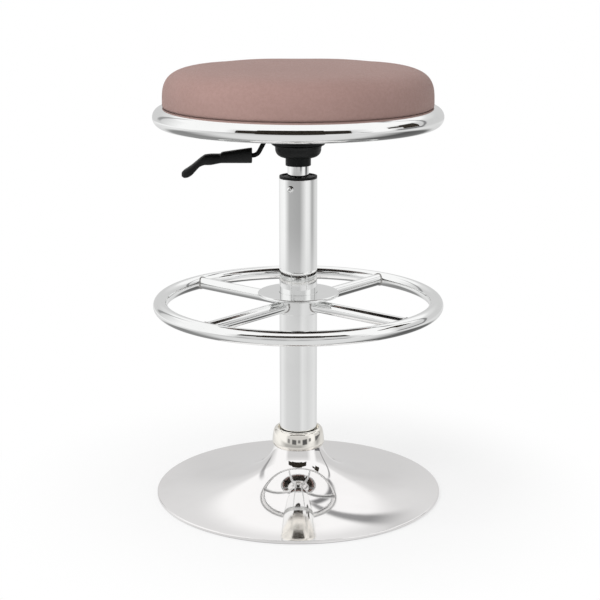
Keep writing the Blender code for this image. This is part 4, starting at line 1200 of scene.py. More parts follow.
@dataclass
class FootRest:
    """Foot ring on welded spokes, with the sleeve that clamps it to the column and the cap over them."""

    height: float = 0.2640
    ring_radius: float = 0.1830
    ring_tube: float = 0.0095
    spoke: float = 0.0080
    spokes: int = 4
    spoke_azimuth: float = 50.0
    weld_drop: float = 0.0012
    weld_pitch: float = 0.0013
    bore: float = 0.0253
    sleeve: float = 0.0285
    sleeve_above: float = 0.0132
    sleeve_below: float = 0.0115
    sleeve_ease: float = 0.0007
    cap_radius: float = 0.0540
    cap_sheet: float = 0.0015
    cap_height: float = 0.0038
    cap_round: float = 0.0022
    cap_ease: float = 0.0004
    grub: float = 0.0030
    grub_ease: float = 0.0003
    grub_azimuths: tuple[float, float] = (5.0, 95.0)
    grub_stand: float = 0.0004
    grub_socket: float = 0.0016
    sides: int = 40

    def spoke_end(self, angle: float, inner: bool, ease: float) -> Vector:
        """Point on a spoke's coped end.

        Args:
            angle: Angle round the spoke.
            inner: True at the sleeve, False at the ring.
            ease: How far the end stays off what it meets.

        Returns:
            The point, with the spoke on +X.
        """
        y = self.spoke * math.cos(angle)
        z = self.spoke * math.sin(angle)
        if inner:
            return Vector((math.sqrt((self.sleeve + ease) ** 2 - y ** 2), y, self.height + z))
        reach = self.ring_radius - math.sqrt((self.ring_tube + ease) ** 2 - z ** 2)
        return Vector((math.sqrt(reach ** 2 - y ** 2), y, self.height + z))

    def spoke_round(self, inner: bool, ease: float) -> list[Vector]:
        """Points round a spoke's coped end, with the same arguments as for one point."""
        return [self.spoke_end(math.tau * side / self.sides, inner, ease) for side in range(self.sides)]

    def spoke_bars(self) -> bpy.types.Object:
        """Spokes with coped ends.

        Returns:
            The spokes as one piece.
        """
        rings = [[tuple(point) for point in self.spoke_round(inner, FIT)] for inner in (True, False)]
        bar = stand("spoke_bar", skinned(rings))
        return Around(self.spokes, self.spoke_azimuth).made("foot_spoke_bars", bar, BRIGHT_CHROME)

    def welds(self) -> bpy.types.Object:
        """Weld beads where the spokes meet the ring and the sleeve.

        Returns:
            The beads as one piece.
        """
        paths = []
        for index in range(self.spokes):
            turn = turning(self.spoke_azimuth + 360.0 * index / self.spokes, "Z")
            for inner in (True, False):
                paths.append([turn @ point for point in self.spoke_round(inner, 0.0)])
        return WeldBead(self.weld_drop, self.weld_pitch).made("spoke_weld_beads", paths, SHADED_WELD_CHROME)

    def sleeve_tube(self) -> bpy.types.Object:
        """Sleeve round the column.

        Returns:
            The sleeve.
        """
        low = self.height - self.sleeve_below
        high = self.height + self.sleeve_above
        outline = [(self.bore, low), (self.sleeve, low), (self.sleeve, high), (self.bore, high)]
        return turned("foot_sleeve_tube", eased(outline, self.sleeve_ease))

    def cap(self) -> bpy.types.Object:
        """Pressed cap plate over the spokes.

        Returns:
            The cap.
        """
        under = self.height + self.sleeve_above + FIT
        face = under + self.cap_sheet
        lip = face - self.cap_height
        inner = self.cap_radius - self.cap_sheet
        shoulder = arc((self.cap_radius - self.cap_round, face - self.cap_round),
                       (self.cap_round, self.cap_round), 0.0, 90.0, 10)
        hollow = arc((inner - self.cap_sheet, under - self.cap_sheet), (self.cap_sheet, self.cap_sheet),
                     90.0, 0.0, 6)
        outline = [(self.bore, under)] + hollow + [(inner, lip), (self.cap_radius, lip)] + shoulder
        return turned("foot_cap_plate", eased(outline + [(self.bore, face)], self.cap_ease))

    def grub_screws(self) -> bpy.types.Object:
        """Socket screws that clamp the sleeve.

        Returns:
            Both screws as one piece.
        """
        end = self.sleeve + self.grub_stand
        outline = [(0.0, self.bore), (self.grub, self.bore), (self.grub, end), (0.0, end)]
        screw = turned("grub_shape", eased(outline, self.grub_ease), SCREW_STEPS)
        tool = turned_mesh([(0.0, end - self.grub_socket), (self.grub_socket, end - self.grub_socket),
                            (self.grub_socket, end + self.grub_socket), (0.0, end + self.grub_socket)], 6)
        carved(screw, tool)
        moved(screw, Matrix.Translation((0.0, 0.0, self.height)) @ turning(90.0, "Y"))
        gap = self.grub_azimuths[1] - self.grub_azimuths[0]
        pair = bmesh.new()
        pair.from_mesh(screw.data)
        other = pair.copy()
        added(pair, other, turning(gap, "Z"))
        bpy.data.objects.remove(screw, do_unlink=True)
        made = stand("clamp_grub_screws", pair)
        return moved(made, turning(self.grub_azimuths[0], "Z"))

    def build(self) -> None:
        """Make the foot rest's pieces."""
        ring = TubeRing(self.ring_radius, self.ring_tube, self.height).made("foot_ring_tube", BRIGHT_CHROME)
        finished(ring, BRIGHT_CHROME, Body.BASE, "foot_ring")
        finished(self.spoke_bars(), BRIGHT_CHROME, Body.BASE, *numbered("foot_spoke", self.spokes))
        finished(self.welds(), SHADED_WELD_CHROME, Body.BASE)
        finished(self.sleeve_tube(), BRIGHT_CHROME, Body.BASE, "foot_hub_sleeve")
        finished(self.cap(), BRIGHT_CHROME, Body.BASE, "foot_hub_cap")
        finished(self.grub_screws(), ZINC, Body.BASE, "hub_grub_screw_1", "hub_grub_screw_2")


@dataclass
class Mechanism:
    """Gas cylinder, hub, dome and the pressed plate that carries the seat."""

    cylinder: float = 0.0140
    cylinder_wall: float = 0.0025
    cylinder_mouth: float = 0.0085
    cylinder_floor: float = 0.0020
    cylinder_head: float = 0.0080
    cylinder_ease: float = 0.0006
    button_hole: float = 0.0034
    taper: float = 0.0007
    taper_start: float = 0.0015
    hub_bottom: float = 0.4480
    hub_radius: float = 0.0166
    hub_ease: float = 0.0008
    dome_bottom: float = 0.4590
    dome_top: float = 0.4754
    dome_radius: float = 0.0300
    dome_corner: float = 0.0105
    dome_flare: float = 0.0045
    dome_flare_height: float = 0.0054
    dome_wall: float = 0.0020
    dome_ease: float = 0.0004
    pan_radius: float = 0.0360
    pan_bend: float = 0.0030
    sheet: float = 0.0025
    plate_top: float = 0.5035
    plate_half: float = 0.0650
    plate_rows: Spot = (0.0500, 0.0560)
    plate_ease: float = 0.0005
    squareness: float = 8.0
    bolt_count: int = 4
    bolt_spacing: float = 0.0960
    bolt: float = 0.0030
    bolt_head: float = 0.0058
    bolt_head_height: float = 0.0045
    bolt_tip: float = 0.5165
    bolt_chamfer: float = 0.0006
    bolt_crown: float = 0.94
    bolt_sides: int = 48
    washer_face: float = 0.0005
    washer_share: float = 0.99
    slot_half: float = 0.0046
    slot_low: float = 0.4852
    slot_high: float = 0.4985

    def gas_cylinder(self) -> bpy.types.Object:
        """Chromed cylinder of the gas spring.

        Returns:
            The cylinder.
        """
        low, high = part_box("gas_cylinder")
        bore = self.cylinder - self.cylinder_wall
        floor = low[2] + self.cylinder_floor
        ceiling = high[2] - self.cylinder_head
        outline = [(self.cylinder_mouth, low[2]), (self.cylinder, low[2]),
                   (self.cylinder, self.hub_bottom + self.taper_start), (self.cylinder - self.taper, high[2]),
                   (self.button_hole, high[2]), (self.button_hole, ceiling), (bore, ceiling), (bore, floor),
                   (self.cylinder_mouth, floor)]
        return turned("gas_spring_cylinder", eased(outline, self.cylinder_ease))

    def hub(self) -> bpy.types.Object:
        """Taper hub that the cylinder sits in.

        Returns:
            The hub.
        """
        low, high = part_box("taper_hub")
        bore = self.cylinder + FIT
        outline = [(bore, low[2]), (self.hub_radius, low[2]), (self.hub_radius, high[2]),
                   (bore - self.taper, high[2]), (bore, low[2] + self.taper_start)]
        return turned("seat_taper_hub", eased(outline, self.hub_ease))

    def dome(self) -> bpy.types.Object:
        """Moulded dome round the hub, flared out at its top.

        Returns:
            The dome.
        """
        hole = self.hub_radius + FIT
        corner = (self.dome_radius - self.dome_corner, self.dome_bottom + self.dome_corner)
        flare = (self.dome_radius + self.dome_flare, self.dome_top - self.dome_flare_height)
        thin = (self.dome_flare + self.dome_wall, self.dome_flare_height + self.dome_wall)
        meet = math.degrees(math.asin(self.dome_flare_height / thin[1]))
        inner = self.dome_corner - self.dome_wall
        outside = arc(corner, (self.dome_corner, self.dome_corner), -90.0, 0.0, 14)
        outside += arc(flare, (self.dome_flare, self.dome_flare_height), 180.0, 90.0, 12)
        inside = arc(flare, thin, 180.0 - meet, 180.0, 8)
        inside += arc(corner, (inner, inner), 0.0, -90.0, 8)
        outline = [(hole, self.dome_bottom)] + outside + inside + [(hole, self.dome_bottom + self.dome_wall)]
        return turned("hub_dome", eased(outline, self.dome_ease))

    def plate(self) -> bpy.types.Object:
        """Pressed plate with its round pan and the lever's slot.

        Returns:
            The plate.
        """
        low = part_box("mechanism_plate")[0]
        under = self.plate_top - self.sheet
        inner = self.pan_radius - self.sheet
        hole = self.hub_radius + FIT
        bend = (self.pan_bend, self.pan_bend)
        outline = [(hole, low[2])]
        outline += arc((self.pan_radius - self.pan_bend, low[2] + self.pan_bend), bend, -90.0, 0.0, 8)
        outline += bow((self.pan_radius, under - self.pan_bend), (self.pan_radius, under),
                       (self.pan_radius + self.pan_bend, under), 6)
        rows = (*self.plate_rows, self.plate_half)
        outline += [(radius, under) for radius in rows]
        outline += [(radius, self.plate_top) for radius in rows[::-1]]
        outline += bow((inner + self.pan_bend, self.plate_top), (inner, self.plate_top),
                       (inner, self.plate_top - self.pan_bend), 6)
        outline += [(inner, low[2] + self.sheet), (hole, low[2] + self.sheet)]
        mesh = turned_mesh(eased(outline, self.plate_ease, 2))
        for vert in mesh.verts:
            self.square_up(vert)
        plate = stand("seat_pressed_plate", mesh)
        size = (2 * self.pan_radius, 2 * self.slot_half, self.slot_high - self.slot_low)
        middle = (-1.5 * self.pan_radius, 0.0, (self.slot_low + self.slot_high) / 2)
        return carved(plate, block(size, middle))

    def square_up(self, vert: bmesh.types.BMVert) -> None:
        """Move a point of the round plate out to the rounded square.

        Args:
            vert: Point that is moved.
        """
        radius = math.hypot(vert.co.x, vert.co.y)
        start = self.pan_radius + self.pan_bend
        if radius <= start:
            return
        angle = math.atan2(vert.co.y, vert.co.x)
        power = self.squareness
        grow = (abs(math.cos(angle)) ** power + abs(math.sin(angle)) ** power) ** (-1.0 / power)
        share = (radius - start) / (self.plate_half - start)
        scale = 1.0 + (grow - 1.0) * min(share, 1.0)
        vert.co.x *= scale
        vert.co.y *= scale

    def bolts(self) -> bpy.types.Object:
        """Hexagon bolts through the plate's corners, each on a round washer face.

        Returns:
            The bolts as one piece.
        """
        reach = self.bolt_spacing / 2 * math.sqrt(2.0)
        top = self.plate_top - self.sheet - FIT
        bottom = top - self.bolt_head_height
        flat = self.bolt_head * math.cos(math.radians(30.0))
        washer = flat * self.washer_share
        levels = ((bottom, flat * self.bolt_crown), (bottom + self.bolt_chamfer, self.bolt_head),
                  (top - self.bolt_chamfer, self.bolt_head), (top - self.washer_face, washer), (top, washer))
        rings = []
        for level, limit in levels:
            ring = []
            for side in range(self.bolt_sides):
                degrees = 360.0 * side / self.bolt_sides
                hexagon = flat / math.cos(math.radians((degrees + 30.0) % 60.0 - 30.0))
                ring.append(tuple(polar(min(hexagon, limit), degrees, level)))
            rings.append(ring)
        shank = turned_mesh([(0.0, top), (self.bolt, top), (self.bolt, self.bolt_tip), (0.0, self.bolt_tip)],
                            SCREW_STEPS)
        shape = stand("bolt_shape", added(skinned(rings), shank))
        moved(shape, Matrix.Translation((reach, 0.0, 0.0)))
        return Around(self.bolt_count, 45.0).made("plate_hex_bolts", shape, ZINC)

    def build(self) -> None:
        """Make the mechanism's pieces."""
        finished(self.gas_cylinder(), DRAWN_CHROME, Body.SEAT, "gas_cylinder")
        finished(self.hub(), BLACK_COAT, Body.SEAT, "taper_hub")
        finished(self.dome(), BLACK_PLASTIC, Body.SEAT, "hub_cover")
        finished(self.plate(), BLACK_COAT, Body.SEAT, "mechanism_plate")
        finished(self.bolts(), ZINC, Body.SEAT, *numbered("plate_bolt", self.bolt_count))


@dataclass
class ReleaseLever:
    """Bent rod on its pin and the moulded handle on the rod's outer end."""

    rod: float = 0.0030
    level: float = 0.4918
    pivot: float = 0.0265
    reach: float = 0.0050
    start: float = 0.0335
    slope: float = 62.0
    handle_level: float = 0.4610
    bend_upper: float = 0.0060
    bend_lower: float = 0.0100
    socket: float = 0.0255
    boss: float = 0.0048
    boss_half: float = 0.0058
    boss_ease: float = 0.0004
    pin: float = 0.0023
    rod_sides: int = 28
    handle_gap: float = 0.0010
    handle_angle: float = 50.0
    squareness: float = 3.0
    sides: int = 40
    steps_between: int = 5
    pull: float = 0.25
    # Sections of the handle: distance out from its root, rise of its middle, half its height, half its width
    sections: tuple[tuple[float, float, float, float], ...] = (
        (0.0000, 0.0001, 0.0086, 0.0098),
        (0.0015, 0.0000, 0.0097, 0.0112),
        (0.0375, -0.0026, 0.0070, 0.0120),
        (0.0412, -0.0039, 0.0059, 0.0119),
        (0.0530, -0.0051, 0.0070, 0.0122),
        (0.0615, -0.0058, 0.0065, 0.0122),
        (0.0680, -0.0094, 0.0056, 0.0120),
        (0.0775, -0.0184, 0.0068, 0.0112),
        (0.0830, -0.0220, 0.0066, 0.0102),
        (0.0880, -0.0240, 0.0054, 0.0086),
        (0.0912, -0.0246, 0.0028, 0.0056),
    )

    def foot(self) -> float:
        """Place along X at which the rod is level again.

        Returns:
            The place.
        """
        slope = math.radians(self.slope)
        bends = self.bend_upper + self.bend_lower
        straight = (self.level - self.handle_level - bends * (1.0 - math.cos(slope))) / math.tan(slope)
        return -self.start - bends * math.sin(slope) - straight

    def path(self) -> list[Vector]:
        """Centre line of the rod, from over the button to inside the handle.

        Returns:
            Its points in order.
        """
        upper = (-self.start, self.level - self.bend_upper)
        lower = (self.foot(), self.handle_level + self.bend_lower)
        line = [(self.reach, self.level)]
        line += arc(upper, (self.bend_upper, self.bend_upper), 90.0, 90.0 + self.slope, 12)
        line += arc(lower, (self.bend_lower, self.bend_lower), self.slope - 90.0, -90.0, 14)
        line += [(self.foot() - self.handle_gap - self.socket, self.handle_level)]
        return [Vector((x, 0.0, z)) for x, z in line]

    def bar(self) -> bpy.types.Object:
        """Bent rod with the boss that turns on the pin.

        Returns:
            The rod.
        """
        mesh = swept(self.path(), self.rod, self.rod_sides)
        outline = [(self.pin, -self.boss_half), (self.boss, -self.boss_half), (self.boss, self.boss_half),
                   (self.pin, self.boss_half)]
        boss = turned_mesh(eased(outline, self.boss_ease, 2), SCREW_STEPS)
        place = Matrix.Translation((-self.pivot, 0.0, self.level)) @ turning(90.0, "X")
        return stand("lever_bent_rod", added(mesh, boss, place))

    def section(self, outward: float, rise: float, half_height: float, half_width: float) -> Ring:
        """Rounded section of the handle.

        Args:
            outward: Distance out from the handle's root.
            rise: Height of its middle over the rod.
            half_height: Half its height.
            half_width: Half its width.

        Returns:
            The points of the section.
        """
        power = 2.0 / self.squareness
        ring = []
        for side in range(self.sides):
            angle = math.tau * (side + 0.5) / self.sides
            y = half_width * math.copysign(abs(math.cos(angle)) ** power, math.cos(angle))
            z = half_height * math.copysign(abs(math.sin(angle)) ** power, math.sin(angle))
            ring.append((self.foot() - self.handle_gap - outward, y, self.handle_level + rise + z))
        return ring

    def handle(self) -> bpy.types.Object:
        """Moulded handle through its sections, smooth between them.

        Returns:
            The handle.
        """
        rings = []
        last = len(self.sections) - 1
        for index in range(last):
            near = [Vector(self.sections[max(min(index + step, last), 0)]) for step in (-1, 0, 1, 2)]
            for step in range(self.steps_between):
                rings.append(self.section(*self.between(near, step / self.steps_between)))
        rings.append(self.section(*self.sections[last]))
        return stand("lever_moulded_handle", skinned(rings), math.radians(self.handle_angle))

    def between(self, near: list[Vector], share: float) -> tuple[float, ...]:
        """Values between the middle two of four sections.

        Args:
            near: Four neighbouring sections.
            share: Share of the way from the second to the third.

        Returns:
            The section's values.
        """
        before, start, end, after = near
        leave = (end - before) * self.pull
        arrive = (after - start) * self.pull
        square = share * share
        cube = square * share
        mixed = (2 * cube - 3 * square + 1) * start + (cube - 2 * square + share) * leave
        mixed += (3 * square - 2 * cube) * end + (cube - square) * arrive
        return tuple(mixed)

    def build(self) -> None:
        """Make the lever's pieces."""
        finished(self.bar(), BLACK_COAT, Body.LEVER, "lever_rod")
        finished(self.handle(), BLACK_PLASTIC, Body.LEVER, "lever_handle")


@dataclass
class SeatRing:
    """Chrome ring under the cushion with the tabs and screws that hold it to the board."""

    radius: float = 0.1755
    tube: float = 0.0125
    level: float = 0.5127
    tabs: int = 4
    tab_azimuth: float = 45.0
    tab_width: float = 0.0220
    tab_thickness: float = 0.0030
    tab_start: float = 0.1360
    tab_edge: float = 0.0004
    plate_top: float = 0.5035
    screw: float = 0.0019
    screw_head: float = 0.0040
    screw_height: float = 0.0022
    screw_tip: float = 0.5157

    def tab_strips(self) -> bpy.types.Object:
        """Flat tabs, round at the inner end and cut to the tube at the outer end.

        Returns:
            The tabs as one piece.
        """
        half = self.tab_width / 2
        edge = self.tab_edge
        low = self.plate_top - self.tab_thickness
        levels = ((low, edge), (low + edge, 0.0), (self.plate_top - edge, 0.0), (self.plate_top, edge))
        rings = []
        for level, inset in levels:
            tube = math.sqrt((self.tube + FIT) ** 2 - (level - self.level) ** 2)
            width = half - inset
            end = math.sqrt((self.radius - tube) ** 2 - width ** 2)
            outline = arc((self.tab_start, 0.0), (width, width), 90.0, 270.0, 24)
            rings.append([(x, y, level) for x, y in outline + [(end, -width), (end, width)]])
        tab = stand("tab", skinned(rings))
        return Around(self.tabs, self.tab_azimuth).made("ring_tab_strips", tab, BRIGHT_CHROME)

    def tab_screws(self) -> bpy.types.Object:
        """Screws up through the tabs into the board.

        Returns:
            The screws as one piece.
        """
        seat = self.plate_top - self.tab_thickness - FIT
        shape = ScrewHead(self.screw_head, self.screw_height)
        head = shape.made("tab_screw_shape", self.screw, self.screw_tip - seat)
        moved(head, Matrix.Translation((self.tab_start, 0.0, seat)) @ turning(180.0, "X"))
        return Around(self.tabs, self.tab_azimuth).made("tab_cross_screws", head, ZINC)

    def build(self) -> None:
        """Make the ring's pieces."""
        ring = TubeRing(self.radius, self.tube, self.level).made("seat_ring_tube", BRIGHT_CHROME)
        finished(ring, BRIGHT_CHROME, Body.SEAT, "seat_ring")
        finished(self.tab_strips(), BRIGHT_CHROME, Body.SEAT, *numbered("ring_tab", self.tabs))
        finished(self.tab_screws(), ZINC, Body.SEAT, *numbered("tab_screw", self.tabs))


@dataclass
class SeatCushion:
    """Stretched vinyl cover over foam, its hem under the board and the stapled lining."""

    radius: float = 0.1772
    crown_level: float = 0.5365
    crown_height: float = 0.0412
    crown_flat: float = 11.0
    shoulder_round: float = 2.5
    ring_radius: float = 0.1755
    ring_tube: float = 0.0125
    ring_level: float = 0.5127
    ring_gap: float = 0.0001
    crease_inset: float = 0.0002
    tuck: float = 152.0
    side_fullness: float = 0.7
    board_radius: float = 0.1575
    board_top: float = 0.5195
    floor_share: float = 0.94
    cover: float = 0.0010
    hem_radius: float = 0.1460
    hem_bottom: float = 0.5049
    hem_ease: float = 0.0007
    hem_steps: int = 240
    pleat: float = 0.0003
    pleat_start: float = 0.0020
    pleat_rate: float = 160.0
    lining_radius: float = 0.1500
    lining_bottom: float = 0.5038
    lining_thickness: float = 0.0008
    lining_rows: int = 30
    lining_steps: int = 176
    sag: float = 0.00022
    sag_start: float = 0.80
    sag_draw: float = 0.004
    staples: int = 44
    staple_wire: float = 0.0005
    staple_half: float = 0.0050
    staple_leg: float = 0.0022
    staple_corner: Spot = (0.0005, 0.0004)
    staple_inset: float = 0.0045
    staple_jitter: float = 0.16
    staple_seed: int = 11
    slack: float = 0.0022
    swell_limit: float = 0.0026
    swell_frames: int = 20
    held_height: float = 0.0060
    held_fade: float = 0.0050
    calm: int = 80
    grid: int = 96
    crown_steps: int = 240

    def section(self, inset: float) -> Outline:
        """Section of the cushion from its crown to the crease at the ring.

        Args:
            inset: Depth below the cover's full size.

        Returns:
            Fine (radius, height) points.
        """
        width = self.radius - inset
        height = self.crown_height - inset
        points: Outline = []
        for step in range(self.crown_steps + 1):
            share = math.sin(math.pi / 2 * step / self.crown_steps)
            rise = max(1.0 - share ** self.crown_flat, 0.0) ** (1.0 / self.shoulder_round)
            points.append((width * share, self.crown_level + height * rise))
        groove = self.ring_tube + self.ring_gap
        turn = math.asin(self.crease_inset / groove)
        crease = (self.ring_radius - self.crease_inset, self.ring_level + groove * math.cos(turn))
        drop = self.crown_level - crease[1]
        belly = (width, self.crown_level - self.side_fullness * drop)
        side = bow((width, self.crown_level), belly, crease, 24)
        over = 90.0 + math.degrees(turn)
        under = arc((self.ring_radius, self.ring_level), (groove, groove), over, self.tuck, 16)
        return points[:-1] + side + under[1:]

    @staticmethod
    def along(section: Outline, shares: list[float]) -> Outline:
        """Points of a section at shares of its length.

        Args:
            section: Points in order.
            shares: Rising shares from 0 to 1.

        Returns:
            One point for each share.
        """
        lengths = [0.0]
        for near, far in zip(section, section[1:]):
            lengths.append(lengths[-1] + math.dist(near, far))
        found = []
        index = 0
        for share in shares:
            goal = share * lengths[-1]
            while index < len(lengths) - 2 and lengths[index + 1] < goal:
                index += 1
            part = (goal - lengths[index]) / max(lengths[index + 1] - lengths[index], 1e-9)
            near, far = section[index], section[index + 1]
            found.append((near[0] + (far[0] - near[0]) * part, near[1] + (far[1] - near[1]) * part))
        return found

    def disc_mesh(self, section: Outline) -> bmesh.types.BMesh:
        """Cushion with an even net of four-sided faces over its crown and sides.

        Args:
            section: Section from the crown to under the edge.

        Returns:
            A mesh that is open only under its middle.
        """
        half = self.grid // 2
        rows = self.along(section, [step / half for step in range(half + 1)])
        mesh = bmesh.new()
        verts = {}
        for i in range(-half, half + 1):
            for j in range(-half, half + 1):
                reach = max(abs(i), abs(j))
                radius, height = rows[reach]
                if reach == 0:
                    angle = 0.0
                elif abs(i) >= abs(j):
                    angle = math.pi / 4 * j / i + (math.pi if i < 0 else 0.0)
                else:
                    angle = math.pi / 2 - math.pi / 4 * i / j + (math.pi if j < 0 else 0.0)
                verts[i, j] = mesh.verts.new((radius * math.cos(angle), radius * math.sin(angle), height))
        for i in range(-half, half):
            for j in range(-half, half):
                mesh.faces.new((verts[i, j], verts[i + 1, j], verts[i + 1, j + 1], verts[i, j + 1]))
        edge = [verts[i, -half] for i in range(-half, half)]
        edge += [verts[half, j] for j in range(-half, half)]
        edge += [verts[i, half] for i in range(half, -half, -1)]
        edge += [verts[-half, j] for j in range(half, -half, -1)]
        floor = self.board_top + FIT
        share = self.floor_share
        inner = [mesh.verts.new((vert.co.x * share, vert.co.y * share, floor)) for vert in edge]
        for index in range(len(edge)):
            after = (index + 1) % len(edge)
            mesh.faces.new((edge[index], inner[index], inner[after], edge[after]))
        return mesh

    def close_floor(self, pad: bpy.types.Object) -> None:
        """Close the underside, which rests on the board.

        Args:
            pad: Cushion that is open under its middle.
        """
        mesh = bmesh.new()
        mesh.from_mesh(pad.data)
        middle = mesh.verts.new((0.0, 0.0, self.board_top + FIT))
        for edge in [edge for edge in mesh.edges if edge.is_boundary]:
            mesh.faces.new((*edge.verts, middle))
        bmesh.ops.recalc_face_normals(mesh, faces=mesh.faces)
        mesh.to_mesh(pad.data)
        mesh.free()

    def stuffed(self) -> bpy.types.Object:
        """Cover blown out by its foam, held at the ring's crease.

        Returns:
            The cushion.
        """
        pad = stand("seat_cushion", self.disc_mesh(self.section(self.slack)), math.pi)
        self.swell(pad)
        modifier = pad.modifiers.new("fine", "SUBSURF")
        modifier.levels = 1
        modifier.render_levels = 1
        settle(pad)
        self.close_floor(pad)
        pad.data.shade_smooth()
        return pad

    def swell(self, pad: bpy.types.Object) -> None:
        """Run the cloth under pressure and keep the result, within a limit.

        Args:
            pad: Cushion that is changed.
        """
        held = pad.vertex_groups.new(name="held")
        crease = self.ring_level + self.ring_tube
        for vert in pad.data.vertices:
            share = min(max((crease + self.held_height - vert.co.z) / self.held_fade, 0.0), 1.0)
            if share > 0.0:
                held.add([vert.index], share, "REPLACE")
        rest = [vert.co.copy() for vert in pad.data.vertices]
        cloth = pad.modifiers.new("cover", "CLOTH")
        settings = cloth.settings
        settings.quality = 6
        settings.mass = 0.35
        settings.tension_stiffness = 30.0
        settings.compression_stiffness = 30.0
        settings.shear_stiffness = 20.0
        settings.bending_stiffness = 1.5
        settings.tension_damping = 12.0
        settings.use_pressure = True
        settings.uniform_pressure_force = 1.2
        settings.vertex_group_mass = "held"
        settings.effector_weights.gravity = 0.0
        cloth.collision_settings.use_collision = False
        scene = bpy.context.scene
        for step in range(1, self.swell_frames + 1):
            scene.frame_set(step)
        blown = plain_mesh(pad)
        pad.modifiers.remove(cloth)
        scene.frame_set(1)
        moves = []
        longest = 0.0
        for vert, start in zip(blown.vertices, rest):
            move = vert.co - start
            longest = max(longest, move.length)
            moves.append(move * (self.swell_limit / max(move.length, self.swell_limit)))
        LOG.info("cushion swells by %.1f mm before the limit", 1000.0 * longest)
        for vert, start, move in zip(pad.data.vertices, rest, self.calmed(pad.data, moves)):
            vert.co = start + move
        bpy.data.meshes.remove(blown)
        pad.vertex_groups.clear()

    def calmed(self, mesh: bpy.types.Mesh, moves: list[Vector]) -> list[Vector]:
        """Even out a field of moves between neighbours, as foam under the cover does.

        Args:
            mesh: Mesh whose edges join the neighbours.
            moves: One move for each vertex.

        Returns:
            The calmer moves.
        """
        pairs = [tuple(edge.vertices) for edge in mesh.edges]
        for _ in range(self.calm):
            totals = [move.copy() for move in moves]
            counts = [1] * len(moves)
            for near, far in pairs:
                totals[near] += moves[far]
                totals[far] += moves[near]
                counts[near] += 1
                counts[far] += 1
            moves = [total / count for total, count in zip(totals, counts)]
        return moves

    def hem(self) -> bpy.types.Object:
        """Edge of the cover, drawn round the board and under it.

        Returns:
            The hem.
        """
        wall = self.board_radius + FIT + self.cover
        top = self.board_top - self.cover
        outline = [(wall, top), (wall, self.hem_bottom), (self.hem_radius, self.hem_bottom),
                   (self.hem_radius, self.hem_bottom + self.cover),
                   (wall - self.cover, self.hem_bottom + self.cover), (wall - self.cover, top)]
        mesh = turned_mesh(eased(outline, self.hem_ease, 3), self.hem_steps)
        for vert in mesh.verts:
            radius = math.hypot(vert.co.x, vert.co.y)
            inward = min(max((wall - self.pleat_start - radius) / (wall - self.hem_radius), 0.0), 1.0)
            fold = noise.noise(Vector((vert.co.x * self.pleat_rate, vert.co.y * self.pleat_rate, 0.0)))
            vert.co.z -= self.pleat * inward * max(fold, 0.0)
        return stand("seat_cover_hem", mesh, CLOTH_ANGLE)

    def lining(self) -> bpy.types.Object:
        """Lining under the seat, slightly slack between its staples.

        Returns:
            The lining.
        """
        top = self.lining_bottom + self.lining_thickness
        radii = [self.lining_radius * step / self.lining_rows for step in range(self.lining_rows + 1)]
        outline = [(radius, self.lining_bottom) for radius in radii]
        outline += [(radius, top) for radius in radii[::-1]]
        mesh = turned_mesh(outline, self.lining_steps)
        for vert in mesh.verts:
            radius = math.hypot(vert.co.x, vert.co.y)
            angle = math.atan2(vert.co.y, vert.co.x)
            edge = min(max((radius / self.lining_radius - self.sag_start) / (1.0 - self.sag_start), 0.0), 1.0)
            wave = math.cos(angle * self.staples)
            vert.co.z -= self.sag * edge * (1.0 - wave)
            if edge == 1.0:
                vert.co.x *= 1.0 - self.sag_draw * (1.0 - wave)
                vert.co.y *= 1.0 - self.sag_draw * (1.0 - wave)
        return stand("seat_lining_sheet", mesh, CLOTH_ANGLE)

    def staple_row(self) -> bpy.types.Object:
        """Staples through the lining's edge.

        Returns:
            The staples as one piece.
        """
        half = self.staple_half
        short, low = self.staple_corner
        line = [(-half, self.staple_leg), (-half, low), (-half + short, 0.0),
                (half - short, 0.0), (half, low), (half, self.staple_leg)]
        path = [Vector((x, 0.0, z)) for x, z in line]
        shape = stand("staple_shape", swept(path, self.staple_wire, 6))
        moved(shape, turning(90.0, "Z"))
        row = Around(self.staples, radius=self.lining_radius - self.staple_inset,
                     level=self.lining_bottom - self.staple_wire, jitter=self.staple_jitter,
                     seed=self.staple_seed)
        return row.made("lining_staples", shape, ZINC)

    def build(self) -> None:
        """Make the cushion's pieces."""
        pad = finished(self.stuffed(), MAUVE_VINYL, Body.SEAT, "seat_cover", "seat_foam")
        finished(self.hem(), MAUVE_VINYL, Body.SEAT)
        finished(self.lining(), SEAT_LINING, Body.SEAT, "seat_dust_cover")
        finished(self.staple_row(), ZINC, Body.SEAT)


@dataclass
class InnerPieces:
    """Pieces inside the stool whose solids are right as they are."""

    finishes: dict[str, Finish] = field(default_factory=lambda: {
        "ballast_plate": BLACK_COAT, "base_socket": ZINC, "bearing_lower_race": ZINC, "bearing_cage": ZINC,
        "bearing_upper_race": ZINC, "piston_rod": DRAWN_CHROME, "piston": ZINC, "piston_nut": ZINC,
        "rod_clip": ZINC, "bump_stop": FLOOR_RUBBER, "rod_guide": ZINC, "lever_bracket": BLACK_COAT,
        "lever_pin": ZINC, "seat_board": SEAT_PLYWOOD, "valve_button": ZINC,
        "board_insert_1": ZINC, "board_insert_2": ZINC, "board_insert_3": ZINC, "board_insert_4": ZINC,
    })

    def build(self) -> None:
        """Dress each solid with its finish."""
        for name, finish in self.finishes.items():
            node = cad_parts[name]
            node.data.materials.clear()
            node.data.materials.append(finish.material())
            LOG.info("%s keeps its solid: %s", name, finish.name)


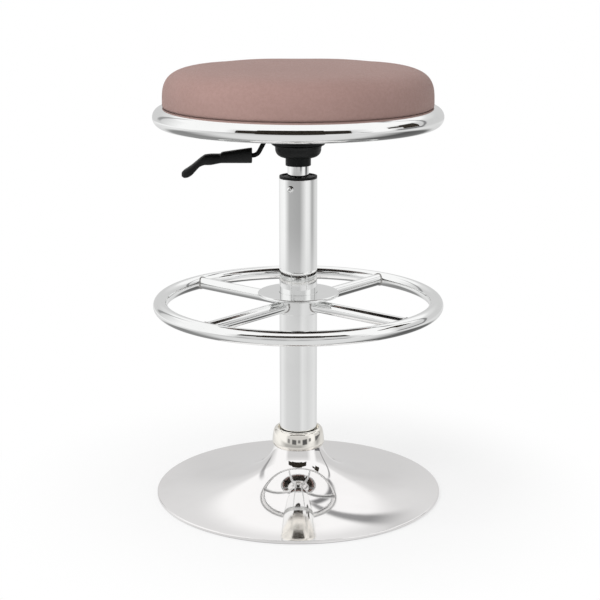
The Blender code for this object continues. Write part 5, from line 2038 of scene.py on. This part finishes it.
@dataclass(frozen=True)
class Shade:
    """Dark thing in the room, with soft edges in degrees round the stool and in degrees of height."""

    across: tuple[float, float, float, float]
    upward: tuple[float, float, float, float]
    depth: float
    lean: float = 0.0

    @staticmethod
    def patch(value: Signal, edges: tuple[float, float, float, float]) -> Signal:
        """Share that rises between the first two values and falls between the last two."""
        return value.eased(edges[0], edges[1]) * (1.0 - value.eased(edges[2], edges[3]))

    def share(self, turn: Signal, rise: Signal) -> Signal:
        """How far it darkens the room in each direction.

        Args:
            turn: Degrees to the right of the camera.
            rise: Degrees over the horizon.

        Returns:
            A share between 0 and its depth.
        """
        upright = turn - rise * self.lean if self.lean else turn
        return self.patch(upright, self.across) * self.patch(rise, self.upward) * self.depth


@dataclass
class Studio:
    """Pale floor, soft light and the camera of the photograph."""

    lens: float = 88.8
    sensor: float = 36.0
    camera: Place = (0.0023, -1.913, 0.740)
    pitch: float = 13.88
    floor_size: float = 4.0
    floor_white: Colour = (0.90, 0.90, 0.90)
    floor_bleach: float = 0.62
    floor_fade: Spot = (0.20, 0.45)
    fill: float = 0.78
    aim_level: float = 0.45
    key_power: float = 20.0
    key_place: Place = (-1.15, -1.00, 2.00)
    key_size: float = 1.1
    bounce_power: float = 4.5
    bounce_place: Place = (-0.35, -1.50, 0.12)
    bounce_size: float = 0.9
    card_colour: Colour = (0.034, 0.029, 0.023)
    # Dark cards that show only in reflections: middle, width and height, degrees turned from the camera
    cards: tuple[tuple[Place, Spot, float], ...] = (
        ((-0.40, -0.55, 0.585), (0.22, 0.25), 0.0), ((-0.06, -0.55, 0.600), (0.46, 0.34), 0.0),
        ((0.28, -0.55, 0.590), (0.22, 0.26), 0.0), ((0.55, -0.215, 0.645), (0.13, 0.090), 90.0),
        ((0.55, -0.070, 0.620), (0.16, 0.230), 90.0),
    )
    # Brightness round the stool, by degrees to the right of the camera: seen high and low in the column, on
    # the floor and at eye level
    high_sides: tuple[tuple[float, float], ...] = (
        (-180.0, 0.70), (-130.0, 0.95), (-90.0, 1.00), (-55.0, 0.45), (10.0, 0.40), (50.0, 0.90),
        (70.0, 0.85), (92.0, 0.40), (120.0, 0.70), (180.0, 0.80),
    )
    low_sides: tuple[tuple[float, float], ...] = (
        (-180.0, 0.65), (-115.0, 0.85), (-75.0, 0.70), (5.0, 0.65), (25.0, 0.80), (60.0, 0.70), (112.0, 0.80),
        (180.0, 0.65),
    )
    floor_sides: tuple[tuple[float, float], ...] = (
        (-180.0, 0.30), (-115.0, 0.25), (-70.0, 0.75), (60.0, 0.75), (105.0, 0.10), (145.0, 0.15),
        (180.0, 0.30),
    )
    eye_sides: tuple[tuple[float, float], ...] = (
        (-180.0, 0.65), (-135.0, 0.65), (-102.0, 1.00), (-58.0, 1.00), (-45.0, 0.65), (40.0, 0.65),
        (58.0, 1.00), (74.0, 1.00), (85.0, 0.65), (180.0, 0.65),
    )
    # Degrees over the horizon between which each part of the room gives way to the one above it
    wall_start: Spot = (-30.0, -20.5)
    wall_change: Spot = (-15.0, -10.5)
    eye_start: Spot = (-9.2, -6.5)
    haze_start: Spot = (14.0, 26.0)
    haze_share: float = 0.3
    sky_start: Spot = (25.0, 32.0)
    # Dark strips behind and beside the stool
    strips: tuple[Shade, ...] = (
        Shade((110.5, 113.0, 115.0, 117.5), (-6.0, 0.0, 44.0, 52.0), 0.75, 0.36),
        Shade((172.4, 173.6, 174.4, 175.6), (23.0, 30.0, 48.0, 54.0), 0.80),
        Shade((126.0, 136.0, 172.0, 176.0), (47.0, 50.0, 52.0, 55.0), 0.90),
        Shade((-146.0, -141.0, -138.0, -133.0), (-4.0, 8.0, 34.0, 46.0), 0.60),
    )
    shade_share: float = 0.92
    shade_colour: Colour = (0.05, 0.05, 0.055)
    # Dark things under the room's horizon: degrees to the right of the camera, half their width, lowest and
    # highest degrees, and darkness
    clutter: tuple[tuple[float, float, float, float, float], ...] = (
        (-43.0, 3.0, -6.4, -3.4, 0.70), (-18.0, 7.0, -6.8, -3.0, 0.95), (4.0, 3.0, -5.2, -3.0, 0.85),
        (29.0, 8.0, -7.4, -3.0, 1.00), (53.0, 3.0, -5.6, -3.2, 0.85), (98.0, 14.0, -8.2, -3.0, 0.90),
    )
    clutter_blur: Spot = (5.0, 1.1)

    def stand_camera(self) -> None:
        """Camera at the photograph's viewing angle."""
        lens = bpy.data.cameras.new("viewpoint")
        lens.lens = self.lens
        lens.sensor_width = self.sensor
        lens.sensor_fit = "HORIZONTAL"
        lens.clip_start = 0.05
        viewpoint = bpy.data.objects.new("viewpoint", lens)
        viewpoint.location = self.camera
        viewpoint.rotation_euler = (math.radians(90.0 - self.pitch), 0.0, 0.0)
        bpy.context.collection.objects.link(viewpoint)
        bpy.context.scene.camera = viewpoint

    def lay_floor(self) -> None:
        """Pale floor that keeps the stool's shadow."""
        mesh = bmesh.new()
        bmesh.ops.create_grid(mesh, x_segments=8, y_segments=8, size=self.floor_size / 2)
        floor = stand("studio_floor", mesh)
        made = bpy.data.materials.new("studio_floor")
        made.use_nodes = True
        bench = Bench(made.node_tree)
        shader = made.node_tree.nodes["Principled BSDF"]
        shader.inputs["Base Color"].default_value = (*self.floor_white, 1.0)
        shader.inputs["Roughness"].default_value = 0.9
        shader.inputs["Specular IOR Level"].default_value = 0.0
        seen = bench.node("ShaderNodeLightPath", output="Is Camera Ray")
        white = bench.node("ShaderNodeEmission", inputs={"Color": (*WHITE, 1.0), "Strength": 1.0})
        lit = Signal(bench, shader.outputs["BSDF"])
        spot = bench.node("ShaderNodeTexCoord", output="Object")
        reach = bench.node("ShaderNodeVectorMath", {"operation": "LENGTH"}, {0: spot}, "Value")
        away = reach.eased(*self.floor_fade)
        bleach = seen * (self.floor_bleach + away * (1.0 - self.floor_bleach))
        floor_mix = bench.node("ShaderNodeMixShader", inputs={0: bleach, 1: lit, 2: white})
        leave = made.node_tree.nodes["Material Output"]
        bench.feed(leave.inputs["Surface"], floor_mix)
        floor.data.materials.append(made)
        floor.visible_glossy = False

    @staticmethod
    def round_the_room(bench: Bench, bearing: Signal, levels: tuple[tuple[float, float], ...]) -> Signal:
        """Grey that changes round the room.

        Args:
            bench: Node tree of the world.
            bearing: Share of the way round, from behind the stool.
            levels: Degrees to the right of the camera, and grey.

        Returns:
            The colour.
        """
        stops = [((degrees + 180.0) / 360.0, (level, level, level)) for degrees, level in levels]
        return bench.node("ShaderNodeValToRGB", {"stops": stops}, {"Fac": bearing})

    def dark_things(self) -> list[Shade]:
        """The strips, and the things under the horizon with their soft edges.

        Returns:
            All of them.
        """
        wide, tall = self.clutter_blur
        shades = list(self.strips)
        for middle, half, bottom, top, depth in self.clutter:
            across = (middle - half - wide, middle - half, middle + half, middle + half + wide)
            shades.append(Shade(across, (bottom - tall, bottom, top, top + tall), depth))
        return shades

    def stand_cards(self) -> None:
        """Dark cards before and beside the stool that show only in reflections."""
        mesh = bmesh.new()
        for place, size, turn in self.cards:
            facing = turning(turn, "Z") @ turning(90.0, "X")
            spread = Matrix.Translation(place) @ facing @ Matrix.Diagonal((*size, 1.0, 1.0))
            bmesh.ops.create_grid(mesh, x_segments=1, y_segments=1, size=0.5, matrix=spread)
        cards = stand("studio_dark_cards", mesh)
        made = bpy.data.materials.new("studio_dark_cards")
        made.use_nodes = True
        shader = made.node_tree.nodes["Principled BSDF"]
        shader.inputs["Base Color"].default_value = (*self.card_colour, 1.0)
        shader.inputs["Roughness"].default_value = 1.0
        shader.inputs["Specular IOR Level"].default_value = 0.0
        cards.data.materials.append(made)
        cards.visible_camera = False
        cards.visible_diffuse = False
        cards.visible_shadow = False

    def hang_world(self) -> None:
        """White surroundings, and a room of greys that shows only in reflections."""
        world = bpy.data.worlds.new("studio_world")
        world.use_nodes = True
        bpy.context.scene.world = world
        tree = world.node_tree
        tree.nodes.clear()
        bench = Bench(tree)
        way = bench.node("ShaderNodeTexCoord", output="Generated")
        parts = bench.node("ShaderNodeSeparateXYZ", inputs={0: way})
        east, north, up = parts, parts.other(1), parts.other(2)
        bearing = east.join("ARCTAN2", east, north * -1.0) / math.tau + 0.5
        rise = up.join("ARCSINE", up) * (180.0 / math.pi)
        turn = bearing * 360.0 - 180.0
        sides = (self.high_sides, self.low_sides, self.floor_sides, self.eye_sides)
        high, low, ground, level = [self.round_the_room(bench, bearing, levels) for levels in sides]
        wall = bench.blend(rise.eased(*self.wall_change), low, high)
        lower = bench.blend(rise.eased(*self.wall_start), ground, wall)
        skyline = bench.blend(rise.eased(*self.eye_start), lower, level)
        haze = bench.blend(rise.eased(*self.haze_start) * self.haze_share, skyline, WHITE)
        sky = bench.blend(rise.eased(*self.sky_start), haze, WHITE)
        shares = [shade.share(turn, rise) for shade in self.dark_things()]
        dark = shares[0]
        for share in shares[1:]:
            dark = dark.join("MAXIMUM", dark, share)
        bright = bench.blend(dark * self.shade_share, sky, self.shade_colour)
        path = bench.node("ShaderNodeLightPath", output="Is Camera Ray")
        glossy = path.other("Is Glossy Ray")
        clear = path.other("Is Transmission Ray")
        soft = bench.node("ShaderNodeBackground", inputs={"Color": (*WHITE, 1.0), "Strength": self.fill})
        room = bench.node("ShaderNodeBackground", inputs={"Color": bright, "Strength": 1.0})
        white = bench.node("ShaderNodeBackground", inputs={"Color": (*WHITE, 1.0), "Strength": 1.0})
        seen = path.join("MAXIMUM", path, clear)
        mirrored = bench.node("ShaderNodeMixShader", inputs={0: glossy, 1: soft, 2: room})
        whole = bench.node("ShaderNodeMixShader", inputs={0: seen, 1: mirrored, 2: white})
        leave = tree.nodes.new("ShaderNodeOutputWorld")
        bench.feed(leave.inputs["Surface"], whole)

    def hang_lamp(self, name: str, power: float, place: Place, size: float) -> None:
        """Soft round lamp that faces the stool and doesn't show in reflections.

        Args:
            name: Name of the lamp.
            power: Watts.
            place: Where it hangs.
            size: Diameter.
        """
        lamp = bpy.data.lights.new(name, "AREA")
        lamp.shape = "DISK"
        lamp.size = size
        lamp.energy = power
        hung = bpy.data.objects.new(name, lamp)
        hung.location = place
        aim = Vector((0.0, 0.0, self.aim_level)) - Vector(place)
        hung.rotation_euler = aim.to_track_quat("-Z", "Y").to_euler()
        hung.visible_glossy = False
        bpy.context.collection.objects.link(hung)

    def build(self) -> None:
        """Set the studio up."""
        settings = bpy.context.scene.view_settings
        settings.view_transform = "Standard"
        self.stand_camera()
        self.lay_floor()
        self.hang_world()
        self.stand_cards()
        self.hang_lamp("key_softbox", self.key_power, self.key_place, self.key_size)
        self.hang_lamp("floor_bounce", self.bounce_power, self.bounce_place, self.bounce_size)


def main() -> None:
    """Build the stool's pieces in order."""
    logging.basicConfig(level=logging.INFO, format="%(name)s: %(message)s")
    Studio().build()
    assemblies = (TrumpetBase(), Column(), FootRest(), Mechanism(), ReleaseLever(), SeatRing(), SeatCushion(),
                  InnerPieces())
    for assembly in assemblies:
        assembly.build()


if __name__ == "__main__":
    main()
